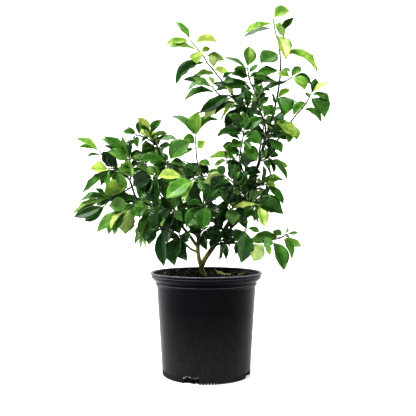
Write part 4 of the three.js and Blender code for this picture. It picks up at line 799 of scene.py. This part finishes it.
# The least and most of each leaf's arch, bend aside, twist in radians, fold, and wave in mm. A twist
# turns about a fifth of the way along.
ARCHES, BENDS, TWISTS, FOLDS, WAVES = (0.8, 1.02), (-0.09, 0.09), (-0.5, 0.5), (0.25, 0.85), (0.7, 2.3)
UNTWISTED = 0.2
PETIOLE_SHARE, LONGEST_PETIOLE, PETIOLE_RADIUS = 0.12, 9 * MM, 0.85 * MM
PETIOLE_OUTLINE = [(0.0, 1.15), (0.5, 1.0), (1.2, 0.8)]  # share of its length, of its radius
ROOT_INSET, TIP_MATCH = 2.6 * MM, 0.05 * MM
TWIG_AGE, TWIG_GREENING = 0.1, 0.5
# How far in mm a tip may stand behind or before its written depth: the first that its solid has.
SWINGS = [0, -9, 9, -18, 18, -27, 27, -36, 36, -48, 48, -60, 60]
# Leaves of the back: their length, width as a share of it, turn from one to the next in radians and how
# far that strays, reach ahead and droop, how far their outward face tips to the sky, and their age and
# painted shade.
BACK_SHORTEST, BACK_LONGEST, BACK_WIDTH = 58 * MM, 84 * MM, 0.46
BACK_TURN, BACK_STRAY, BACK_AHEAD, BACK_DROOP = 2.4, 0.6, 0.55, 0.25
BACK_SKYWARD, BACK_AGE_AND_SHADE = 220 * MM, 0.3
UP, FRONT = Vector((0, 0, 1)), Vector((0, -1, 0))
# Stems that are full inside also carry small leaves along their twigs.
FULL_INSIDE = {
    "hub", "centre_right", "right_shade", "core_right", "right_broad", "right_waist", "right_fork",
    "low_centre", "low_front", "low_stub", "left_shade", "left_inner", "left_front", "left_waist",
    "left_crown", "left_top", "left_hanging", "low_left", "low_left_end", "side_leader", "left_far",
    "back_left", "back_left_top", "back_centre", "back_right", "back_top"}
# The limb that carries each back stem, and the share of it that is bare.
BACK_LIMBS = {"back_left": 7, "back_centre": 8, "back_right": 9, "back_top": 10}
BARE_SHARE = 0.4
# Small leaves: their spacing, the least and most of their length, width as a share of it, age and painted
# shade, place in their space, and how far they reach ahead, up and to the front, and face the front.
SMALL_SPACING, SMALL_LENGTH, SMALL_WIDTH, SMALL_AGE_AND_SHADE = 9 * MM, (24 * MM, 50 * MM), (0.38, 0.52), (0.1, 0.55)
SMALL_PLACE, SMALL_AHEAD, SMALL_UP, SMALL_FRONT, SMALL_FACE = (
    (0.1, 0.9), (0.1, 0.8), (-0.5, 0.3), (-0.5, 0.6), (0.2, 1.4))
inside_of = random.Random(5)
LEAF_SIZES = {
    "Sides": 6,
    "Step": 4.0 * MM,
    "Collar": 1.0,
    "Blade Points": 8,
    "Blade Thickness": 0.03,  # of its half width
    "Wave Length": 24 * MM,
}
shape_of = random.Random(11)


def seeded_draws(state):
    """Even draws from 0 to 1, the same ones for the same seed. Its numbers only mix the bits."""
    whole = 0xFFFFFFFF
    while True:
        state = (state + 0x6D2B79F5) & whole
        mixed = ((state ^ state >> 15) * (1 | state)) & whole
        mixed = ((mixed + ((mixed ^ mixed >> 7) * (61 | mixed) & whole)) ^ mixed) & whole
        yield (mixed ^ mixed >> 14) / (whole + 1)


def square_to(vector, axis):
    """The part of a vector that is square to a unit axis."""
    return vector - axis * vector.dot(axis)


def outwards(place):
    """The level way from the plant's middle to a place, at most 1 long."""
    return Vector((max(-1.0, min(1.0, place.x / MM)), 0, 0))


def seat_on(points, share):
    """The point and the way ahead at a share of a twig's length."""
    reach = lengths(points)
    at = min(share * reach[-1], reach[-1] - ROOT_INSET)
    i = max(1, next(i for i, length in enumerate(reach) if length >= at))
    ahead = (points[i] - points[i - 1]).normalized()
    return points[i - 1] + ahead * (at - reach[i - 1]), ahead


def shown_leaf(base, tip, shown):
    """Width and upper face of a leaf whose shown width is given: to the front, tipped to the sky."""
    ahead = (tip - base).normalized()
    widest = abs(shown) * LEAF_FULLNESS * MM
    width = max(widest / math.cos(math.radians(LEAF_LEAN)), LEAF_SLIM * (tip - base).length)
    front = square_to(FRONT, ahead).normalized() * (1 if shown > 0 else -1)
    sky = ahead.cross(front)
    if sky.dot(UP + outwards(base) * LEAF_OUTWARD) < 0:
        sky = -sky
    share = widest / width
    return width, front * share + sky * math.sqrt(1 - share * share)


def back_leaf(points, index, count, draws):
    """Base, tip, width and face of a leaf of the plant's back, turned on from the one before it."""
    base, ahead = seat_on(points, (index + 1) / count)
    across = ahead.cross(UP).normalized()
    angle = index * BACK_TURN + next(draws) * BACK_STRAY
    length = BACK_SHORTEST + (BACK_LONGEST - BACK_SHORTEST) * next(draws)
    way = ahead * BACK_AHEAD + across * math.cos(angle) + across.cross(ahead) * math.sin(angle)
    way = (way - UP * BACK_DROOP).normalized()
    face = square_to(Vector((base.x, base.y, BACK_SKYWARD)), way).normalized()
    return base, base + way * length, BACK_WIDTH * length, face


def leaf_lines(base, tip, width, face, age, bow=USUAL_BOW):
    """A leaf's petiole and midrib as lines, which carry what the tree needs to spread the blade."""
    length = (tip - base).length
    ahead = (tip - base) / length
    side = ahead.cross(face)
    # The arch is the curve share * (1 - share), which is a quarter at its top.
    rise = square_to(UP + (outwards(base) + FRONT) * LEAF_SAG, ahead) * bow * length * 4
    rise *= shape_of.uniform(*ARCHES)
    stray = side * shape_of.uniform(*BENDS) * length
    twist = shape_of.uniform(*TWISTS)
    tint, fold = shape_of.uniform(-1, 1), shape_of.uniform(*FOLDS)
    wave, start = shape_of.uniform(*WAVES) * MM, shape_of.uniform(0, math.tau)
    petiole = min(PETIOLE_SHARE, LONGEST_PETIOLE / length)

    def at(share):
        return base + ahead * (share * length) + (rise + stray) * (share * (1 - share))

    shares = [petiole + (1 - petiole) * share for share, _ in BLADE_OUTLINE]
    halves = [half * width / 2 for _, half in BLADE_OUTLINE]
    turned = [Matrix.Rotation(twist * (share - UNTWISTED), 3, ahead) @ face for share in shares]
    stalk = [petiole * share for share, _ in PETIOLE_OUTLINE]
    stalk_radii = [PETIOLE_RADIUS * girth for _, girth in PETIOLE_OUTLINE]
    shared = {"age": age, "tint": tint, "fold": fold, "wave": wave, "wave_start": start}

    def line(shares, blade, radii, faces):
        carried = {label: [value] * len(shares) for label, value in shared.items()}
        reach = [max(0.0, share - petiole) * length for share in shares]
        return {"points": [at(share) for share in shares], "is_blade": [blade] * len(shares),
                "radius_here": radii, "face": faces, "reach": reach, **carried}

    return [line(stalk, 0.0, stalk_radii, [face] * len(stalk)), line(shares, 1.0, halves, turned)]


def twig_line(points, girth):
    """A twig as a line: greener towards its end."""
    count = len(points)
    plain = {label: [0.0] * count for label in ("tint", "fold", "wave", "wave_start", "reach")}
    reach = lengths(points)
    ages = [TWIG_AGE + TWIG_GREENING * (at / reach[-1]) ** 3 for at in reach]
    return {"points": points, "is_blade": [0.0] * count, "radius_here": tapered(points, girth),
            "face": [UP] * count, "age": ages, **plain}


def leaves_of(leaves, points, draws):
    """Every leaf of a twig, as its place for a swing of its tip, in millimetres, its age and painted shade,
    and its arch.
    """
    if isinstance(leaves, int):
        for index in range(leaves):
            base, tip, width, face = back_leaf(points, index, leaves, draws)
            yield (lambda swing: (base, tip - FRONT * (swing * MM), width, face)), BACK_AGE_AND_SHADE
        return
    for share, x, z, depth, shown, age, *bow in leaves:
        base, _ = seat_on(points, share)

        def placed(swing):
            tip = seen_place(x, z, base.y / MM + depth + swing)
            return (base, tip, *shown_leaf(base, tip, shown))

        yield placed, age, *bow


def small_leaves(points, bare=0.0):
    """Base, tip, width, face, and age and painted shade of the small leaves along a twig, left and right by
    turns.
    """
    count = max(1, round(lengths(points)[-1] / SMALL_SPACING))
    for index in range(round(count * bare), count):
        base, ahead = seat_on(points, (index + inside_of.uniform(*SMALL_PLACE)) / count)
        across = ahead.cross(FRONT).normalized() * (1 if index % 2 else -1)
        way = across + ahead * inside_of.uniform(*SMALL_AHEAD) + UP * inside_of.uniform(*SMALL_UP)
        way = (way + FRONT * inside_of.uniform(*SMALL_FRONT)).normalized()
        length = inside_of.uniform(*SMALL_LENGTH)
        sky = UP + FRONT * inside_of.uniform(*SMALL_FACE) + outwards(base) * LEAF_OUTWARD
        face = square_to(sky, way)
        width = length * inside_of.uniform(*SMALL_WIDTH)
        yield base, base + way * length, width, face.normalized(), inside_of.uniform(*SMALL_AGE_AND_SHADE)


def standing_leaf(placed, corners):
    """The leaf at the swing where its solid stands: where a corner of the solid is its tip."""
    for swing in SWINGS:
        leaf = placed(swing)
        if corners.find(leaf[1])[2] < TIP_MATCH:
            return leaf
    return None


# The leafy stem's tree: twigs and petioles as round wood, and a blade swept along each midrib, then
# folded and waved. The wave leans forward from the midrib to the edge.
WAVE_LEAN, MIDRIB_WIDTH, TIP_WELD = 0.8, 0.01, 0.005 * MM
leafing, unfold, given = new_tree("leafy_stem", LEAF_SIZES)
is_blade = unfold("InputNamedAttribute", {"Name": "is_blade"}, data_type="FLOAT")
is_blade = unfold("Math", {0: is_blade, 1: 0.5}, operation="GREATER_THAN")
parted = unfold("SeparateGeometry", {"Geometry": given["Geometry"], "Selection": is_blade})
blades, rods = parted.node.outputs["Selection"], parted.node.outputs["Inverted"]
round_sizes = {label: given[label] for label in ("Sides", "Step", "Collar")}
shoots = unfold("Group", {"Geometry": rods, **round_sizes}, node_tree=wood)
half, reach, fold, wave, start, across = (
    unfold("InputNamedAttribute", {"Name": label}, data_type="FLOAT")
    for label in ("radius_here", "reach", "fold", "wave", "wave_start", "across"))
face = unfold("InputNamedAttribute", {"Name": "face"}, data_type="FLOAT_VECTOR")
midribs = unfold("MeshToCurve", {"Mesh": blades})
midribs = unfold("SetCurveNormal", {"Curve": midribs, "Normal": face}, mode="FREE")
section = unfold("CurvePrimitiveCircle", {"Resolution": given["Blade Points"], "Radius": 1.0})
x_y_z = unfold("SeparateXYZ", {0: unfold("InputPosition")}).node.outputs
for label, value in {"across": x_y_z["Y"], "upper": x_y_z["X"]}.items():
    section = unfold("StoreNamedAttribute", {
        "Geometry": section, "Name": label, "Value": value}, data_type="FLOAT")
flat = unfold("CombineXYZ", {0: given["Blade Thickness"], 1: 1.0, 2: 1.0})
section = unfold("Transform", {"Geometry": section, "Scale": flat})
swept = unfold("CurveToMesh", {
    "Curve": midribs, "Profile Curve": section, "Scale": half, "Fill Caps": True})
apart = unfold("Math", {0: across}, operation="ABSOLUTE")
folded = apart
for part in (half, fold):
    folded = unfold("Math", {0: folded, 1: part}, operation="MULTIPLY")
turn = unfold("Math", {0: reach, 1: given["Wave Length"]}, operation="DIVIDE")
turn = unfold("Math", {0: turn, 1: math.tau, 2: start}, operation="MULTIPLY_ADD")
turn = unfold("Math", {0: across, 1: WAVE_LEAN, 2: turn}, operation="MULTIPLY_ADD")
swell = unfold("Math", {0: turn}, operation="SINE")
edge = unfold("Math", {0: apart, 1: across}, operation="MULTIPLY")
swell = unfold("Math", {0: swell, 1: edge}, operation="MULTIPLY")
lift = unfold("Math", {0: swell, 1: wave, 2: folded}, operation="MULTIPLY_ADD")
shift = unfold("VectorMath", {0: face, "Scale": lift}, operation="SCALE")
waved = unfold("SetPosition", {"Geometry": swept, "Offset": shift})
creased = unfold("Math", {0: apart, 1: MIDRIB_WIDTH}, operation="LESS_THAN")
waved = unfold("StoreNamedAttribute", {
    "Geometry": waved, "Name": "sharp_edge", "Value": creased}, data_type="BOOLEAN", domain="EDGE")
waved = unfold("MergeByDistance", {"Geometry": waved, "Distance": TIP_WELD})

# Green shoot bark: smooth and faintly waxy, dark on the older length, yellow-green at the tip and on
# the petioles, which take their leaf's green with its painted shade.
shoot_bark, paint, spot = new_material("green_shoot_bark")
age = paint("Attribute", attribute_name="age").node.outputs["Fac"]
shade = paint("ValToRGB", {"Fac": age}, stops=[
    (0.1, "#181d10"), (0.95, "#a9c45c"), (0.35, "#2c3f1f"), (0.65, "#5f8a34")])
cloud = paint("TexNoise", {"Vector": spot, "Scale": 1 / (6 * MM), "Detail": 3.0})
lightness = paint("MapRange", {"Value": cloud, "To Min": 0.7, "To Max": 1.3})
coloured = paint("VectorMath", {0: shade, "Scale": lightness}, operation="SCALE")
finish(shoot_bark, {"Base Color": coloured, "Roughness": 0.5})

# Lemon leaf: leathery, glossy above and matt and paler below. A thin pale midrib, and side veins about
# 6 mm apart that slant forward, both drawn about twice as wide as they are so that they show. The blade
# swells a little between its veins, with painted shade in the grooves along them, and is blotched darker
# and lighter. Leaves deep in the crown get a darker green of painted shade.
VEIN_SPACING, VEIN_SLANT, MIDRIB_HALF = 6.5 * MM, 0.8, 0.9 * MM
lemon_leaf, paint, spot = new_material("glossy_lemon_leaf")
kept = {label: paint("Attribute", attribute_name=label).node.outputs["Fac"]
        for label in ("age", "tint", "across", "upper", "radius_here", "reach")}
cloud = paint("TexNoise", {"Vector": spot, "Scale": 1 / (26 * MM), "Detail": 3.0})
patch = paint("MapRange", {"Value": cloud, "From Min": 0.3, "From Max": 0.7, "To Min": -0.12,
    "To Max": 0.12})
# Painted shade: low values darken the leaves deep in the crown, on top of the lighter green of young
# leaves.
age_shade_and_patch = paint("Math", {0: kept["age"], 1: patch}, operation="ADD")
above = paint("ValToRGB", {"Fac": age_shade_and_patch}, stops=[
    (0.0, "#0d2c14"), (1.0, "#b9c86a"), (0.2, "#1a4415"), (0.42, "#34651d"), (0.62, "#528430"),
    (0.8, "#82a545")])
below = paint("ValToRGB", {"Fac": age_shade_and_patch}, stops=[(0.0, "#3c5c2c"), (1.0, "#c3cf8e"), (0.5, "#7b9a50")])
side_of = paint("Math", {0: kept["upper"], 1: 0.0}, operation="GREATER_THAN")
green = paint("Mix", {"Factor": side_of, "A": below, "B": above}, data_type="RGBA")
varied = paint("MapRange", {"Value": kept["tint"], "From Min": -1.0, "To Min": 0.8, "To Max": 1.22})
green = paint("VectorMath", {0: green, "Scale": varied}, operation="SCALE")
aside = paint("Math", {0: kept["across"]}, operation="ABSOLUTE")
aside = paint("Math", {0: aside, 1: kept["radius_here"]}, operation="MULTIPLY")
midrib = paint("MapRange", {"Value": aside, "From Min": MIDRIB_HALF, "From Max": 0.3 * MM})
slanted = paint("Math", {0: aside, 1: -VEIN_SLANT, 2: kept["reach"]}, operation="MULTIPLY_ADD")
rank = paint("Math", {0: slanted, 1: VEIN_SPACING / 2}, operation="PINGPONG")
vein = paint("MapRange", {"Value": rank, "From Min": 0.8 * MM, "From Max": 0.1 * MM})
vein = paint("Math", {0: vein, 1: 0.3}, operation="MULTIPLY")
veins = paint("Math", {0: midrib, 1: vein}, operation="MAXIMUM")
paled = paint("MapRange", {"Value": kept["age"], "From Max": 0.6, "To Min": 0.35})
veins = paint("Math", {0: veins, 1: paled}, operation="MULTIPLY")
puffed = paint("MapRange", {"Value": rank, "From Max": VEIN_SPACING / 2}, interpolation_type="SMOOTHSTEP")
blotch = paint("TexNoise", {"Vector": spot, "Scale": 1 / (9 * MM), "Detail": 4.0})
mottled = paint("MapRange", {"Value": blotch, "From Min": 0.3, "From Max": 0.7, "To Min": 0.72,
    "To Max": 1.2})
# Painted shade in the grooves along the veins, lighter on the swells between them, times the blotches.
groove_shade_and_mottle = paint("Math", {0: puffed, 1: 0.16, 2: mottled}, operation="MULTIPLY_ADD")
green = paint("VectorMath", {0: green, "Scale": groove_shade_and_mottle}, operation="SCALE")
pale = paint("Mix", {"Factor": 0.3, "A": green, "B": "#b9cf7c"}, data_type="RGBA")
coloured = paint("Mix", {"Factor": veins, "A": green, "B": pale}, data_type="RGBA")
pores = paint("TexNoise", {"Vector": spot, "Scale": 1 / (3 * MM), "Detail": 3.0})
gloss = paint("MapRange", {"Value": pores, "To Min": 0.24, "To Max": 0.42})
roughness = paint("Mix", {"Factor": side_of, "A": 0.62, "B": gloss}, data_type="FLOAT")
swollen = paint("Math", {0: puffed, 1: 1.2, 2: pores}, operation="MULTIPLY_ADD")
relief = paint("Bump", {"Height": swollen, "Strength": 0.6, "Distance": 0.5 * MM})
finish(lemon_leaf, {"Base Color": coloured, "Roughness": roughness, "Normal": relief, "IOR": 1.48})

barked = unfold("SetMaterial", {"Geometry": shoots, "Material": shoot_bark})
green = unfold("SetMaterial", {"Geometry": waved, "Material": lemon_leaf})
joined = unfold("JoinGeometry", {"Geometry": [green, barked]})
smooth = unfold("SetShadeSmooth", {"Geometry": joined})
real = unfold("RealizeInstances", {"Geometry": smooth})
unfold("NodeGroupOutput", {"Geometry": real})

draws = seeded_draws(7)
for name, twigs in LEAFY_STEMS.items():
    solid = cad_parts[f"stem_{name}"].data.vertices
    corners = kdtree.KDTree(len(solid))
    for i, corner in enumerate(solid):
        corners.insert(corner.co, i)
    corners.balance()
    lines = []
    for girth, route, leaves in twigs:
        points = route_points(route)
        lines.append(twig_line(points, girth))
        for placed, *age_shade_and_bow in leaves_of(leaves, points, draws):
            leaf = standing_leaf(placed, corners)
            if leaf:
                lines += leaf_lines(*leaf, *age_shade_and_bow)
        for leaf in small_leaves(points) if name in FULL_INSIDE else ():
            lines += leaf_lines(*leaf)
    if name in BACK_LIMBS:
        for leaf in small_leaves(limbs[BACK_LIMBS[name]]["points"], BARE_SHARE):
            lines += leaf_lines(*leaf)
    stem = made_with(leafing, lines_object(f"leafy_{name}", lines), LEAF_SIZES)
    outward_faces(stem)
    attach(stem, "root")
    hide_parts(f"stem_{name}")

# ---- Litter on the mix ----
# Larger chips of split bark, pressed into the mix when the pot was filled, and one shed leaf, still
# yellow-green, that lies curled against it, with a dry twig and a curl of leaf beside it.

CHIP_SIZES = {"Cuts": 3, "Roughness": 1.6 * MM, "Grain": 5.0 * MM}
splitting, cleave, given = new_tree("split_bark_chip", CHIP_SIZES)
cut = cleave("SubdivideMesh", {"Mesh": given["Geometry"], "Level": given["Cuts"]})
size = cleave("Math", {0: 1.0, 1: given["Grain"]}, operation="DIVIDE")
shift = ragged(cleave, size, given["Roughness"], 5.0)
split = cleave("SetPosition", {"Geometry": cut, "Offset": shift})

# Dry pine bark: matt grey-brown plates with darker layers about 1.5 mm thick.
dry_pine_bark, paint, spot = new_material("dry_pine_bark")
layers = paint("TexNoise", {"Vector": spot, "Scale": 1 / (1.5 * MM), "Detail": 5.0})
coloured = paint("ValToRGB", {"Fac": layers}, stops=[(0.3, "#1d1512"), (0.72, "#77685a"), (0.5, "#43342c")])
rough = paint("Bump", {"Height": layers, "Strength": 0.8, "Distance": 0.5 * MM})
finish(dry_pine_bark, {"Base Color": coloured, "Normal": rough, "Roughness": 0.85})

end_in(cleave, split, dry_pine_bark)

for number in (1, 2, 3, 4):
    node = f"bark_chip_{number}"
    chip = new_object(f"split_chip_{number}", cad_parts[node].data.copy())
    outward_faces(chip)
    made_with(splitting, chip, CHIP_SIZES)
    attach(chip, "root")
    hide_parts(node)

SHED = [  # base, tip, width and green of the shed leaf and of the dry curl beside it
    ((18, 46, 246), (66, 24, 233), 12, 0.88),
    ((76, 22, 238), (94, 8, 237), 8, 0.7),
]
SHED_FACE, SHED_BOW = Vector((0.2, -0.6, 0.8)), -0.12
DRY_TWIG = [(71, 14, 231), (72, 13, 242), (75, 12, 254)]
lines = [twig_line([Vector(point) * MM for point in DRY_TWIG], (1.8, 1.0))]
for base, tip, width, green in SHED:
    base, tip = Vector(base) * MM, Vector(tip) * MM
    face = square_to(SHED_FACE, (tip - base).normalized()).normalized()
    lines += leaf_lines(base, tip, width * MM, face, green, SHED_BOW)
shed_leaf = made_with(leafing, lines_object("shed_leaf", lines), LEAF_SIZES)
outward_faces(shed_leaf)
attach(shed_leaf, "root")
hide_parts("fallen_leaf")

# ---- Floor, light and camera ----
# A pale studio sweep that glows a little, so that shadows stay faint, one soft light high at the front
# left, weaker ones at both sides and one on the sweep, and the camera level with the lowest leaves.

SWEEP_FRONT, SWEEP_DEPTH, SWEEP_HEIGHT, SWEEP_BEND, SWEEP_HALF = -3.0, 2.2, 3.2, 0.9, 4.0
SWEEP_STEPS, PHOTO_WIDTH = 12, 416
outline = [(SWEEP_FRONT, 0.0), (SWEEP_DEPTH - SWEEP_BEND, 0.0)]
for step in range(1, SWEEP_STEPS + 1):
    bend = math.radians(step * 90 / SWEEP_STEPS)
    outline.append((SWEEP_DEPTH - SWEEP_BEND * (1 - math.sin(bend)), SWEEP_BEND * (1 - math.cos(bend))))
outline.append((SWEEP_DEPTH, SWEEP_HEIGHT))
corners = [(x, y, z) for y, z in outline for x in (-SWEEP_HALF, SWEEP_HALF)]
sheets = [(2 * i, 2 * i + 1, 2 * i + 3, 2 * i + 2) for i in range(len(outline) - 1)]
sweep_mesh = bpy.data.meshes.new("studio_sweep")
sweep_mesh.from_pydata(corners, [], sheets)
sweep_mesh.shade_smooth()
sweep = new_object("studio_sweep", sweep_mesh)
matt_paper, paint, _ = new_material("matt_white_paper")
fibre = paint("TexNoise", {"Scale": 60.0, "Detail": 2.0})
white = paint("Mix", {"Factor": fibre, "A": "#f7f7f6", "B": "#fdfdfd"}, data_type="RGBA")
finish(matt_paper, {"Base Color": white, "Roughness": 0.9, "Emission Color": "#ffffff",
    "Emission Strength": 0.25})
sweep_mesh.materials.append(matt_paper)

LIGHTS = [  # name, place, what it faces, width in metres, watts
    ("soft_key", (-1.2, -1.3, 2.6), (0, 0, 0.5), 0.8, 74),
    ("side_fill", (2.3, -0.6, 1.4), (0, 0, 0.4), 1.0, 11),
    ("left_sheen", (-2.0, 0.5, 0.5), (0, 0, 0.2), 0.9, 18),
    ("right_sheen", (2.1, 0.7, 0.6), (0, 0, 0.2), 0.8, 8),
    ("sweep_light", (0, 0.7, 3.0), (0, 2.0, 0.5), 2.4, 55),
]
for name, place, aim, width, watts in LIGHTS:
    lamp = bpy.data.lights.new(name, "AREA")
    lamp.size, lamp.energy = width, watts
    light = new_object(name, lamp)
    light.location = place
    light.rotation_euler = (Vector(aim) - Vector(place)).to_track_quat("-Z", "Y").to_euler()

room = bpy.data.worlds.new("soft_room")
room.use_nodes = True
feed(room.node_tree.nodes["Background"], {"Color": "#ffffff", "Strength": 0.08})
bpy.context.scene.world = room
bpy.context.scene.view_settings.view_transform = "Standard"
bpy.context.scene.view_settings.look = "High Contrast"

lens = bpy.data.cameras.new("studio_camera")
lens.lens, lens.sensor_width = 52.0, 36.0
lens.shift_x, lens.shift_y = 1.7 / PHOTO_WIDTH, 6.4 / PHOTO_WIDTH
camera = new_object("studio_camera", lens)
camera.location = (0, -EYE_DISTANCE * MM, EYE_HEIGHT * MM)
camera.rotation_euler = (math.radians(90), 0, 0)
bpy.context.scene.camera = camera
